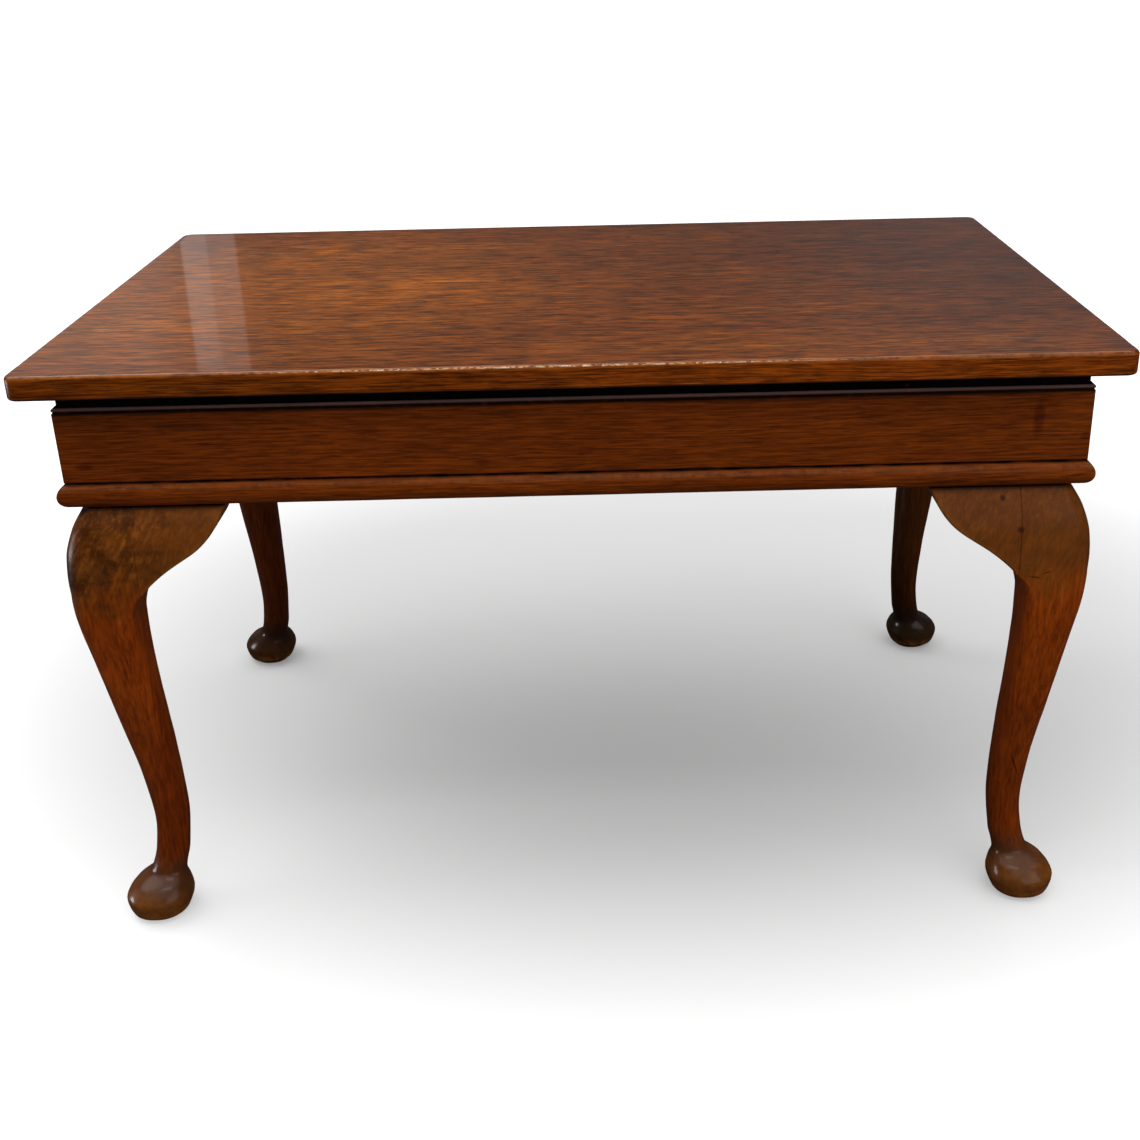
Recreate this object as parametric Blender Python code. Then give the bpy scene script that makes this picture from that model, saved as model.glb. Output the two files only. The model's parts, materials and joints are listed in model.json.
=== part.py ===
"""Storage coffee table: a shallow mahogany box with a lift-up lid, on four cabriole legs.

Metres, +Z up. X runs along the table and -Y is the front.
The origin is on the floor, under the middle of the lid.
"""

import math

import bmesh
import bpy

# Driving dimensions
MM = 0.001
GAP = 0.3 * MM

LID_LENGTH = 838 * MM
LID_DEPTH = 508 * MM
LID_THICKNESS = 19 * MM
LID_TOP = 495 * MM
LID_TOP_ARRIS = 3.5 * MM
LID_BOTTOM_ARRIS = 2.5 * MM
LID_CORNER = 9 * MM

BOX_LENGTH = 786 * MM
BOX_DEPTH = 476 * MM
RAIL_THICKNESS = 16 * MM
FRIEZE_TOP = 465 * MM
FRIEZE_BOTTOM = 404.9 * MM
BEAD = 3 * MM
BEAD_START = 245
QUIRK_HEIGHT = 1.2 * MM
QUIRK_DEPTH = 0.6 * MM
RECESS = 3.5 * MM

LINING_THICKNESS = 6 * MM
BOTTOM_THICKNESS = 6 * MM

FRAME_BOTTOM = 384.3 * MM
FRAME_INSET = 60 * MM
NOSE = 5.5 * MM
NOSE_RADIUS = 10.1 * MM

FOOT_X = 376.5 * MM
FOOT_Y = 230.5 * MM
FOOT_TOP = 52 * MM
FILLET_FOOT = 290 * MM

HINGE_X = 270 * MM
LEAF_LENGTH = 64 * MM
LEAF_DEPTH = 14 * MM
LEAF_THICKNESS = 2 * MM
BARREL_RADIUS = 3.3 * MM
PIN_RADIUS = 1.5 * MM
KNUCKLES = 5
HINGE_SCREW_PITCH = 22 * MM

EAR_REACH = 70 * MM
EAR_BACK = 24 * MM
EAR_ARRIS = 3 * MM
EAR_ARRIS_SHARE = 0.6
EAR_TIP_HANDLE = 45 * MM
EAR_FOOT_HANDLE = 49 * MM
EAR_TIP_SLOPE = math.radians(68.5)
EAR_FOOT_SLOPE = math.radians(48)
EAR_OGEE_SHARE = 0.985

# Wood screws: head radius, shank radius, length; a point is given in shank radii
LEG_SCREW = (4.2 * MM, 2.1 * MM, 45 * MM)
BOX_LEAF_SCREW = (3.2 * MM, 1.5 * MM, 18 * MM)
LID_LEAF_SCREW = (3.2 * MM, 1.5 * MM, 13 * MM)
LEG_SCREW_NEAR = 8 * MM
LEG_SCREW_FAR = 29.5 * MM
SCREW_POINT_LENGTH = 2.0
SCREW_POINT_RADIUS = 0.25

# Outline of a cabriole leg in its diagonal plane of symmetry: height and distance from the foot's middle,
# in millimetres. The front line is the shin and the knee, the back line faces the middle of the table.
LEG_FRONT_LINE = ((0, 17), (6, 25), (18.5, 28), (30, 20.5), (40, 6.5), (60, 0.8), (85, -1.6), (130, 1.4),
                  (190, 9.5), (250, 17.8), (300, 24.3), (325, 25.3), (345, 23.8), (365, 18.2), (385.9, 6.4))
LEG_BACK_LINE = ((0, 18), (6, 24), (18.5, 28), (27, 26.3), (37, 22.9), (55, 26.6), (100, 30.2), (160, 28.6),
                 (220, 25.6), (270, 24.2), (290, 24.4), (300, 25.6), (308, 28.3), (315, 34))
# Share of the half width taken by the rounding of each corner of the leg's section, by height
SHIN_ROUNDING = ((0, 0.93), (60, 0.93), (180, 0.75), (310, 0.6), (385.9, 0.6))
SIDE_ROUNDING = ((0, 0.93), (60, 0.93), (180, 0.6), (265, 0.42), (292, 0.3), (308, 0.12), (315, 0.05))
BACK_ROUNDING = ((0, 0.93), (60, 0.93), (180, 0.8), (290, 0.6), (315, 0.08))
# Facets: steps of each curve and sides of each round piece
CORNER_STEPS = 4
FOOT_STEPS = 12
SHIN_STEPS = 16
FILLET_STEPS = 4
POST_STEPS = 5
EAR_STEPS = 12
ARC_STEPS = 5
ARRIS_STEPS = 3
BARREL_SIDES = 16
SCREW_SIDES = 12
SMOOTH_ANGLE = math.radians(35)

# Levels and places that follow from the driving dimensions
LID_UNDERSIDE = LID_TOP - LID_THICKNESS
BACK_RAIL_TOP = LID_UNDERSIDE - GAP
LEG_TOP = FRAME_BOTTOM - GAP
POST_FOOT = LEG_BACK_LINE[-1][0] * MM
POST_BACK = LEG_BACK_LINE[-1][1] * MM
HALF_LENGTH = BOX_LENGTH / 2
HALF_DEPTH = BOX_DEPTH / 2
INSIDE_X = HALF_LENGTH - RAIL_THICKNESS - GAP
INSIDE_Y = HALF_DEPTH - RAIL_THICKNESS - GAP
BOTTOM_LOW = FRIEZE_BOTTOM + GAP
BOTTOM_HIGH = BOTTOM_LOW + BOTTOM_THICKNESS
AXIS_Y = HALF_DEPTH + BARREL_RADIUS + GAP
AXIS_Z = LID_UNDERSIDE - GAP / 2

# Colours: name, base colour, roughness, metallic
FINISHES = {
    "polished_mahogany": ((0.165, 0.052, 0.022), 0.28, 0.0),
    "frieze_mahogany": ((0.085, 0.026, 0.010), 0.38, 0.0),
    "leg_mahogany": ((0.120, 0.040, 0.012), 0.36, 0.0),
    "lining_wood": ((0.150, 0.075, 0.035), 0.60, 0.0),
    "aged_brass": ((0.420, 0.280, 0.110), 0.38, 1.0),
    "steel_screw": ((0.300, 0.290, 0.280), 0.42, 1.0),
}


def clear_scene():
    for old in list(bpy.data.objects):
        bpy.data.objects.remove(old, do_unlink=True)


def make_materials():
    made = {}
    for name, (colour, roughness, metallic) in FINISHES.items():
        material = bpy.data.materials.new(name)
        material.use_nodes = True
        shader = material.node_tree.nodes["Principled BSDF"]
        shader.inputs["Base Color"].default_value = (*colour, 1.0)
        shader.inputs["Roughness"].default_value = roughness
        shader.inputs["Metallic"].default_value = metallic
        made[name] = material
    return made


def add_object(name, bm, finish=None, parent=None, smooth=False):
    """Turn a bmesh into a named object; without a finish it is a hidden cutter."""
    bmesh.ops.recalc_face_normals(bm, faces=bm.faces)
    mesh = bpy.data.meshes.new(name)
    bm.to_mesh(mesh)
    bm.free()
    obj = bpy.data.objects.new(name, mesh)
    bpy.context.scene.collection.objects.link(obj)
    if finish is None:
        obj.hide_render = True
        obj.display_type = "WIRE"
    else:
        mesh.materials.append(MATERIALS[finish])
    if smooth:
        mesh.shade_smooth()
        mesh.set_sharp_from_angle(angle=SMOOTH_ANGLE)
    if parent is not None:
        obj.parent = parent
        obj.matrix_parent_inverse = parent.matrix_world.inverted()
    return obj


def add_boolean(obj, operation, tools):
    """Join or cut an object with a group of helper solids."""
    group = bpy.data.collections.new(f"{obj.name}_{operation.lower()}")
    for tool in tools:
        group.objects.link(tool)
    modifier = obj.modifiers.new(operation.lower(), "BOOLEAN")
    modifier.operation = operation
    modifier.operand_type = "COLLECTION"
    modifier.collection = group
    modifier.solver = "EXACT"


def block(low, high):
    """Rectangular solid between two corners."""
    bm = bmesh.new()
    bmesh.ops.create_cube(bm, size=1.0)
    for vert in bm.verts:
        for axis in range(3):
            vert.co[axis] = low[axis] if vert.co[axis] < 0 else high[axis]
    return bm


def loft(rings):
    """Closed solid through rings of equal point count, capped at both ends."""
    bm = bmesh.new()
    rows = [[bm.verts.new(point) for point in ring] for ring in rings]
    count = len(rings[0])
    for lower, upper in zip(rows, rows[1:]):
        for i in range(count):
            j = (i + 1) % count
            bm.faces.new((lower[i], lower[j], upper[j], upper[i]))
    bm.faces.new(rows[0])
    bm.faces.new(rows[-1])
    return bm


def circle(x, y, z, radius, sides):
    steps = [math.tau * k / sides for k in range(sides)]
    return [(x + radius * math.cos(a), y + radius * math.sin(a), z) for a in steps]


def rod(x_low, x_high, y, z, radius, sides=BARREL_SIDES):
    """Round bar along X."""
    ends = []
    for x in (x_low, x_high):
        ends.append([(x, y + a, z + b) for a, b, _ in circle(0, 0, 0, radius, sides)])
    return loft(ends)


def arc(centre, radius, start, end, steps):
    """Points of a circular arc, angles in degrees."""
    points = []
    for k in range(steps + 1):
        angle = math.radians(start + (end - start) * k / steps)
        points.append((centre[0] + radius * math.cos(angle), centre[1] + radius * math.sin(angle)))
    return points


def smooth_line(points, at):
    """Value at a height on a smooth line through (height, value) points that never overshoots them."""
    steps = [(b[1] - a[1]) / (b[0] - a[0]) for a, b in zip(points, points[1:])]
    slopes = [steps[0]]
    for before, after in zip(steps, steps[1:]):
        slopes.append(2 * before * after / (before + after) if before * after > 0 else 0.0)
    slopes.append(steps[-1])
    k = 0
    while k < len(steps) - 1 and at > points[k + 1][0]:
        k += 1
    width = points[k + 1][0] - points[k][0]
    s = (at - points[k][0]) / width
    start = (1 + 2 * s) * (1 - s) ** 2 * points[k][1] + s * (1 - s) ** 2 * width * slopes[k]
    end = s * s * (3 - 2 * s) * points[k + 1][1] - s * s * (1 - s) * width * slopes[k + 1]
    return start + end


def bezier(a, b, c, d, t):
    return tuple((1 - t) ** 3 * p + 3 * t * (1 - t) ** 2 * q + 3 * t * t * (1 - t) * r + t ** 3 * s
                 for p, q, r, s in zip(a, b, c, d))


# The four sides of the box, as quarter turns that carry the front to them
SIDES = {"front": 0, "right": 1, "back": 2, "left": 3}


def turn_quarter(point, quarters):
    x, y, z = point
    for _ in range(quarters):
        x, y = -y, x
    return (x, y, z)


def rail(name, side, profile, finish, ends=("mitre", "mitre")):
    """Profile of (depth behind the box face, height) run along one side; an end is mitred or cut square."""
    along, out = (HALF_LENGTH, HALF_DEPTH) if SIDES[side] % 2 == 0 else (HALF_DEPTH, HALF_LENGTH)
    mitre_gap = GAP / math.sqrt(2)
    rings = []
    for sign, end in zip((-1, 1), ends):
        ring = []
        for depth, height in profile:
            reach = along - depth - mitre_gap if end == "mitre" else end
            ring.append(turn_quarter((sign * reach, depth - out, height), SIDES[side]))
        rings.append(ring)
    return add_object(name, loft(rings), finish)


def make_lid():
    bm = block((-LID_LENGTH / 2, -LID_DEPTH / 2, LID_UNDERSIDE), (LID_LENGTH / 2, LID_DEPTH / 2, LID_TOP))
    upright = [e for e in bm.edges if abs(e.verts[0].co.z - e.verts[1].co.z) > LID_THICKNESS / 2]
    bmesh.ops.bevel(bm, geom=upright, offset=LID_CORNER, segments=ARRIS_STEPS, profile=0.5, affect="EDGES")
    for level, arris in ((LID_TOP, LID_TOP_ARRIS), (LID_UNDERSIDE, LID_BOTTOM_ARRIS)):
        rim = [e for e in bm.edges if all(abs(v.co.z - level) < GAP for v in e.verts)]
        bmesh.ops.bevel(bm, geom=rim, offset=arris, segments=ARRIS_STEPS, profile=0.5, affect="EDGES")
    return add_object("lid_panel", bm, "polished_mahogany", LID_AXIS, smooth=True)


def make_box():
    quirk_top = FRIEZE_TOP - BEAD
    quirk_low = quirk_top - QUIRK_HEIGHT
    bead_line = arc((BEAD / 2, FRIEZE_TOP - BEAD / 2), BEAD / 2, BEAD_START, 90, ARC_STEPS)
    frieze = [(0, BOTTOM_LOW), (0, quirk_low), (QUIRK_DEPTH, quirk_low), *bead_line]
    frieze += [(RECESS, FRIEZE_TOP), (RECESS, BACK_RAIL_TOP)]
    frieze += [(RAIL_THICKNESS, BACK_RAIL_TOP), (RAIL_THICKNESS, BOTTOM_LOW)]
    rail("frieze_front", "front", frieze, "frieze_mahogany")
    rail("frieze_right", "right", frieze, "frieze_mahogany", ("mitre", INSIDE_Y))
    rail("frieze_left", "left", frieze, "frieze_mahogany", (INSIDE_Y, "mitre"))
    back = [(0, BOTTOM_LOW), (0, BACK_RAIL_TOP)]
    back += [(RAIL_THICKNESS, BACK_RAIL_TOP), (RAIL_THICKNESS, BOTTOM_LOW)]
    back_rail = rail("back_rail", "back", back, "frieze_mahogany", (HALF_LENGTH, HALF_LENGTH))

    lining_low = BOTTOM_HIGH + GAP
    inner_x = INSIDE_X - LINING_THICKNESS
    inner_y = INSIDE_Y - LINING_THICKNESS
    for side, sign in (("front", -1), ("back", 1)):
        low, high = sorted((sign * inner_y, sign * INSIDE_Y))
        bm = block((-INSIDE_X, low, lining_low), (INSIDE_X, high, BACK_RAIL_TOP))
        add_object(f"lining_{side}", bm, "lining_wood")
    for side, sign in (("left", -1), ("right", 1)):
        low, high = sorted((sign * inner_x, sign * INSIDE_X))
        bm = block((low, GAP - inner_y, lining_low), (high, inner_y - GAP, BACK_RAIL_TOP))
        add_object(f"lining_{side}", bm, "lining_wood")

    bm = block((-INSIDE_X, -INSIDE_Y, BOTTOM_LOW), (INSIDE_X, INSIDE_Y, BOTTOM_HIGH))
    add_object("bottom_panel", bm, "lining_wood")
    return back_rail


def make_base_frame():
    centre = NOSE_RADIUS - NOSE
    nose = arc((centre, FRIEZE_BOTTOM - NOSE_RADIUS), NOSE_RADIUS, 90, 180, ARC_STEPS)
    nose += arc((centre, FRAME_BOTTOM + NOSE_RADIUS), NOSE_RADIUS, 180, 270, ARC_STEPS)
    profile = [(FRAME_INSET, FRIEZE_BOTTOM), *nose, (FRAME_INSET, FRAME_BOTTOM)]
    return {side: rail(f"base_frame_{side}", side, profile, "leg_mahogany") for side in SIDES}


def leg_section(height):
    """Rounded square section of the leg at a height, about the foot's middle, with the shin at +X +Y."""
    level = height / MM
    below_post = min(level, POST_FOOT / MM)
    front = smooth_line(LEG_FRONT_LINE, level) * MM
    back = smooth_line(LEG_BACK_LINE, below_post) * MM
    half = (front + back) / 2
    middle = (front - back) / 2
    shin = smooth_line(SHIN_ROUNDING, level)
    side = smooth_line(SIDE_ROUNDING, below_post)
    rear = smooth_line(BACK_ROUNDING, below_post)
    ring = []
    for turn, (sx, sy, share) in enumerate(((1, 1, shin), (-1, 1, side), (-1, -1, rear), (1, -1, side))):
        centre = (middle + sx * half * (1 - share), middle + sy * half * (1 - share))
        ring += arc(centre, half * share, 90 * turn, 90 * turn + 90, CORNER_STEPS)
    return ring


def make_leg(name, sx, sy):
    stages = ((FOOT_TOP, FOOT_STEPS), (FILLET_FOOT, SHIN_STEPS),
              (POST_FOOT, FILLET_STEPS), (LEG_TOP, POST_STEPS))
    heights = [0.0]
    for level, steps in stages:
        low = heights[-1]
        heights += [low + (level - low) * k / steps for k in range(1, steps + 1)]
    rings = [[(sx * (FOOT_X + x), sy * (FOOT_Y + y), z) for x, y in leg_section(z)] for z in heights]
    return add_object(name, loft(rings), "leg_mahogany", smooth=True)


def make_ear(name, sx, sy, along_x):
    """Knee bracket beside the post; its lower edge is an ogee, and its face follows the knee."""
    glue = -POST_BACK - GAP
    tip = (glue - EAR_REACH, LEG_TOP)
    foot = (glue, POST_FOOT)
    tip_handle = (tip[0] + EAR_TIP_HANDLE * math.cos(EAR_TIP_SLOPE),
                  tip[1] - EAR_TIP_HANDLE * math.sin(EAR_TIP_SLOPE))
    foot_handle = (foot[0] - EAR_FOOT_HANDLE * math.cos(EAR_FOOT_SLOPE),
                   foot[1] + EAR_FOOT_HANDLE * math.sin(EAR_FOOT_SLOPE))
    rings = []
    for k in range(EAR_STEPS + 1):
        edge, height = bezier(tip, tip_handle, foot_handle, foot, EAR_OGEE_SHARE * k / EAR_STEPS)
        face = smooth_line(LEG_FRONT_LINE, height / MM) * MM
        arris = min(EAR_ARRIS, EAR_ARRIS_SHARE * (glue - edge))
        rounding = arc((edge + arris, face - arris), arris, 90, 180, ARRIS_STEPS)
        section = [(glue, face), *rounding, (edge, -EAR_BACK), (glue, -EAR_BACK)]
        ring = []
        for run, out in section:
            x, y = (run, out) if along_x else (out, run)
            ring.append((sx * (FOOT_X + x), sy * (FOOT_Y + y), height))
        rings.append(ring)
    add_object(name, loft(rings), "leg_mahogany", smooth=True)


def screw_shape(x, y, head_z, direction, sizes, grow=0.0):
    """Countersunk wood screw along Z; grown, it is the hole that clears it."""
    head, shank, length = sizes
    slope = head - shank
    point = SCREW_POINT_LENGTH * shank
    levels = [(0.0, head + grow), (slope, shank + grow), (length - point, shank + grow)]
    levels.append((length + grow, SCREW_POINT_RADIUS * shank))
    if grow:
        levels.insert(0, (-2 * grow, head + grow))
    return loft([circle(x, y, head_z + direction * depth, radius, SCREW_SIDES) for depth, radius in levels])


def make_screw(name, x, y, head_z, direction, sizes, finish, parent=None):
    """Screw and the cutter for its hole; returns the cutter."""
    add_object(name, screw_shape(x, y, head_z, direction, sizes), finish, parent, smooth=True)
    return add_object(f"{name}_hole", screw_shape(x, y, head_z, direction, sizes, GAP))


def make_legs(frame):
    holes = {side: [] for side in SIDES}
    for end, sy in (("front", -1), ("back", 1)):
        for hand, sx in (("left", -1), ("right", 1)):
            leg = make_leg(f"leg_{end}_{hand}", sx, sy)
            make_ear(f"ear_{end}_{hand}_{end}", sx, sy, along_x=True)
            make_ear(f"ear_{end}_{hand}_side", sx, sy, along_x=False)
            places = ((end, LEG_SCREW_NEAR, LEG_SCREW_FAR), (hand, LEG_SCREW_FAR, LEG_SCREW_NEAR))
            leg_holes = []
            for number, (side, in_x, in_y) in enumerate(places, 1):
                x = sx * (FOOT_X - POST_BACK + in_x)
                y = sy * (FOOT_Y - POST_BACK + in_y)
                name = f"leg_screw_{end}_{hand}_{number}"
                hole = make_screw(name, x, y, FRIEZE_BOTTOM, -1, LEG_SCREW, "steel_screw")
                leg_holes.append(hole)
                holes[side].append(hole)
            add_boolean(leg, "DIFFERENCE", leg_holes)
    for side, cutters in holes.items():
        add_boolean(frame[side], "DIFFERENCE", cutters)


def make_leaf(name, x, leaf_z, knuckles, screw_sizes, direction, parent=None):
    """Hinge leaf let into wood, with its knuckles on the pin; returns the holes of its screws."""
    plate_front = AXIS_Y - BARREL_RADIUS - GAP - LEAF_DEPTH
    plate_back = AXIS_Y - BARREL_RADIUS - GAP
    low, high = leaf_z
    x_start = x - LEAF_LENGTH / 2
    plate = block((x_start, plate_front, low), (x_start + LEAF_LENGTH, plate_back, high))
    leaf = add_object(name, plate, "aged_brass", parent)
    pitch = LEAF_LENGTH / KNUCKLES
    barrels = []
    for k in knuckles:
        x_low = x_start + pitch * k + GAP / 2
        x_high = x_low + pitch - GAP
        web = block((x_low, plate_back - LEAF_THICKNESS, low), (x_high, AXIS_Y, high))
        barrels.append(add_object(f"{name}_web_{k}", web))
        barrels.append(add_object(f"{name}_barrel_{k}", rod(x_low, x_high, AXIS_Y, AXIS_Z, BARREL_RADIUS)))
    add_boolean(leaf, "UNION", barrels)

    head_z = high if direction < 0 else low
    screw_y = (plate_front + plate_back) / 2
    screw_holes = []
    for number, offset in ((1, -HINGE_SCREW_PITCH), (2, 0.0), (3, HINGE_SCREW_PITCH)):
        screw_name = f"{name}_screw_{number}"
        place = (x + offset, screw_y, head_z, direction)
        screw_holes.append(make_screw(screw_name, *place, screw_sizes, "aged_brass", parent))
    pin_hole = rod(x - LEAF_LENGTH, x + LEAF_LENGTH, AXIS_Y, AXIS_Z, PIN_RADIUS + GAP)
    add_boolean(leaf, "DIFFERENCE", [*screw_holes, add_object(f"{name}_pin_hole", pin_hole)])
    return screw_holes


def mortise(name, x, z_low, z_high, y_low, y_high):
    reach = LEAF_LENGTH / 2 + GAP
    return add_object(name, block((x - reach, y_low, z_low), (x + reach, y_high, z_high)))


def make_hinges(lid, back_rail):
    box_leaf_z = (BACK_RAIL_TOP - LEAF_THICKNESS, BACK_RAIL_TOP)
    lid_leaf_z = (LID_UNDERSIDE, LID_UNDERSIDE + LEAF_THICKNESS)
    leaf_edge = HALF_DEPTH - LEAF_DEPTH - GAP
    barrel_front = HALF_DEPTH - GAP
    barrel_back = AXIS_Y + BARREL_RADIUS + 2 * GAP
    trough_top = AXIS_Z + BARREL_RADIUS + 2 * GAP
    past = LEAF_THICKNESS
    lid_cuts = []
    rail_cuts = []
    for hand, x in (("left", -HINGE_X), ("right", HINGE_X)):
        hinge = f"hinge_{hand}"
        rail_cuts += make_leaf(f"{hinge}_box_leaf", x, box_leaf_z, (0, 2, 4), BOX_LEAF_SCREW, -1)
        lid_cuts += make_leaf(f"{hinge}_lid_leaf", x, lid_leaf_z, (1, 3), LID_LEAF_SCREW, 1, LID_AXIS)
        pin = rod(x - LEAF_LENGTH / 2, x + LEAF_LENGTH / 2, AXIS_Y, AXIS_Z, PIN_RADIUS, SCREW_SIDES)
        add_object(f"{hinge}_pin", pin, "aged_brass", smooth=True)
        rail_cuts.append(mortise(f"{hinge}_rail_mortise", x, box_leaf_z[0] - GAP, BACK_RAIL_TOP + past,
                                 leaf_edge, HALF_DEPTH + past))
        lid_cuts.append(mortise(f"{hinge}_lid_mortise", x, LID_UNDERSIDE - past, lid_leaf_z[1] + GAP,
                                leaf_edge, barrel_back))
        lid_cuts.append(mortise(f"{hinge}_lid_trough", x, LID_UNDERSIDE - past, trough_top,
                                barrel_front, barrel_back))
    add_boolean(lid, "DIFFERENCE", lid_cuts)
    add_boolean(back_rail, "DIFFERENCE", rail_cuts)


clear_scene()
MATERIALS = make_materials()
LID_AXIS = bpy.data.objects.new("lid_axis", None)
LID_AXIS.location = (0.0, AXIS_Y, AXIS_Z)
bpy.context.scene.collection.objects.link(LID_AXIS)
bpy.context.view_layer.update()
lid_panel = make_lid()
rear_rail = make_box()
make_legs(make_base_frame())
make_hinges(lid_panel, rear_rail)
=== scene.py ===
"""Looks of a storage coffee table: polished mahogany, a lift-up lid and cabriole legs, in soft light."""

import json
import math

import bmesh
import bpy
from mathutils import Matrix, Vector, noise


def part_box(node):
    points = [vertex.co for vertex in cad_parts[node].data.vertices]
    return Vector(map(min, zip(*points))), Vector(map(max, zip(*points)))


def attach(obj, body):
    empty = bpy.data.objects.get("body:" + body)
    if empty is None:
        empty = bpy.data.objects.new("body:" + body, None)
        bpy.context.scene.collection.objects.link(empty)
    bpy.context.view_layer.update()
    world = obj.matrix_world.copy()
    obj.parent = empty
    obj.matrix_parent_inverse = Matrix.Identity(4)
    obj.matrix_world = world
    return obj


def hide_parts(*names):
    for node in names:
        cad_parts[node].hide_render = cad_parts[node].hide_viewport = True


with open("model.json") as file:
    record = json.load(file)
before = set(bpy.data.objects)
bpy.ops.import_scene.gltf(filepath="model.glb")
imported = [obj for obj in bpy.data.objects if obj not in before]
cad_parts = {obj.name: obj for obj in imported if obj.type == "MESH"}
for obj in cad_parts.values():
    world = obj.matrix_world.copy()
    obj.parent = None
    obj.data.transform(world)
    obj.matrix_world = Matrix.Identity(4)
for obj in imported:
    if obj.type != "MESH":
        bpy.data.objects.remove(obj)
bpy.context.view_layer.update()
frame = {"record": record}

MM = 0.001
GAP = 0.3 * MM

# Places that the frame gives
LID_LOW, LID_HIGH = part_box("lid_panel")
FRIEZE_LOW, FRIEZE_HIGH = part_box("frieze_front")
SIDE_LOW, SIDE_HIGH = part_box("frieze_right")
BACK_LOW, BACK_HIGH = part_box("back_rail")
NOSE_LOW, NOSE_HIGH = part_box("base_frame_front")
PIN_LOW, PIN_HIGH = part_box("hinge_right_pin")
LEAF_LOW, LEAF_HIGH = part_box("hinge_right_box_leaf")
MOUNTS = {mount["name"]: Vector(mount["pos_m"]) for mount in frame["record"]["mounts"]}
FOOT_X, FOOT_Y, _ = MOUNTS["foot_back_right"]
LEG_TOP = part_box("leg_front_left")[1].z
HALF_LENGTH = FRIEZE_HIGH.x
HALF_DEPTH = -FRIEZE_LOW.y
RAIL_THICKNESS = SIDE_HIGH.x - SIDE_LOW.x
_, AXIS_Y, AXIS_Z = (PIN_LOW + PIN_HIGH) / 2
HINGE_X = (LEAF_LOW.x + LEAF_HIGH.x) / 2
LEAF_LENGTH = LEAF_HIGH.x - LEAF_LOW.x

# Edges of the lid
LID_TOP_ARRIS = 3.5 * MM
LID_BOTTOM_ARRIS = 2.5 * MM
LID_CORNER = 9 * MM
LID_STEP = 3 * MM
LID_DENT = 0.22 * MM
DENTS_PER_METRE = 130.0
SMALL_DENTS_PER_METRE = 330.0
SMALL_DENT_SHARE = 0.6
FLAT_BORDER = 4 * MM

# Bead, quirk and moulding of the box
BEAD = 3 * MM
BEAD_START = 245
BEAD_TOP = FRIEZE_HIGH.z - 10.7 * MM
QUIRK_HEIGHT = 1.2 * MM
QUIRK_DEPTH = 0.6 * MM
RECESS = 3.5 * MM
FRAME_INSET = 60 * MM
NOSE = 5.5 * MM
NOSE_RADIUS = 10.1 * MM
SOIL_REACH = 2.5 * MM
JOINT_SOIL = 1.1 * MM
# Reach of the painted shade onto the tongue's top in the shadow gap
TONGUE_SHADE_REACH = 0.8 * MM
RAIL_STEP = 5 * MM
RAIL_WAVE = 0.12 * MM
RAGGED_SIZE = 14 * MM
# Painted highlight line on the moulding's top arris, in the worn tone: how far below the top, its reach and
# the size of its unevenness
NOSE_HIGHLIGHT_DROP = 3.5 * MM
NOSE_HIGHLIGHT_REACH = 3 * MM
NOSE_HIGHLIGHT_SIZE = 30 * MM

# Boards, hinges and screws
BOARD_EASE = 0.8 * MM
LEAF_THICKNESS = 2 * MM
LEAF_EASE = 0.3 * MM
BARREL_RADIUS = 3.3 * MM
PIN_RADIUS = 1.5 * MM
KNUCKLES = 5
HINGE_SCREW_PITCH = 22 * MM
LEG_SCREW = (4.2 * MM, 2.1 * MM, 45 * MM)
BOX_LEAF_SCREW = (3.2 * MM, 1.5 * MM, 18 * MM)
LID_LEAF_SCREW = (3.2 * MM, 1.5 * MM, 13 * MM)
LEG_SCREW_PLACES = ((8 * MM, 29.5 * MM), (29.5 * MM, 8 * MM))
SCREW_SIDES = 32
SCREW_SEED = 7

# Details of a screw, as shares of its shank's radius or, for the slot, of its head's
SCREW_POINT = 2.0
SCREW_TIP = 0.25
SCREW_LAP = 0.98
SLOT_WIDTH = 0.3
SLOT_LENGTH = 3.0

# Outer and inner faces of a cabriole leg: height, and distance from the foot's middle, in millimetres
LEG_FRONT_LINE = ((0, 17), (6, 25), (18.5, 28), (30, 20.5), (40, 6.5), (60, 0.8), (85, -1.6), (130, 1.4),
                  (190, 9.5), (250, 17.8), (300, 24.3), (325, 25.3), (345, 23.8), (365, 18.2), (385.9, 6.4))
LEG_BACK_LINE = ((0, 18), (6, 24), (18.5, 28), (27, 26.3), (37, 22.9), (55, 26.6), (100, 30.2), (160, 28.6),
                 (220, 25.6), (270, 24.2), (290, 24.4), (300, 25.6), (308, 28.3), (315, 34))

# Rounding of a leg's corners: height in millimetres, and share of half the leg's width
SHIN_ROUNDING = ((0, 0.93), (60, 0.93), (180, 0.75), (310, 0.6), (385.9, 0.6))
SIDE_ROUNDING = ((0, 0.93), (60, 0.93), (180, 0.6), (265, 0.42), (292, 0.3), (308, 0.12), (315, 0.05))
BACK_ROUNDING = ((0, 0.93), (60, 0.93), (180, 0.8), (290, 0.6), (315, 0.08))

# Square post above a leg's curve, and the levels of a leg with the number of slices up to each
POST_FOOT = LEG_BACK_LINE[-1][0] * MM
POST_BACK = LEG_BACK_LINE[-1][1] * MM
LEG_STAGES = ((0.052, 46), (0.290, 70), (POST_FOOT, 18), (LEG_TOP, 28))

# Unevenness of hand work, and worn rims, grime and painted shade on the legs
CARVING_DEPTH = 0.13 * MM
CARVING_SIZE = 16 * MM
FOOT_RIM = 8 * MM
FOOT_WEAR_REACH = 9 * MM
# Reach of the grime and painted shade under the moulding's overhang
POST_GRIME_AND_SHADE = 3 * MM

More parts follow.
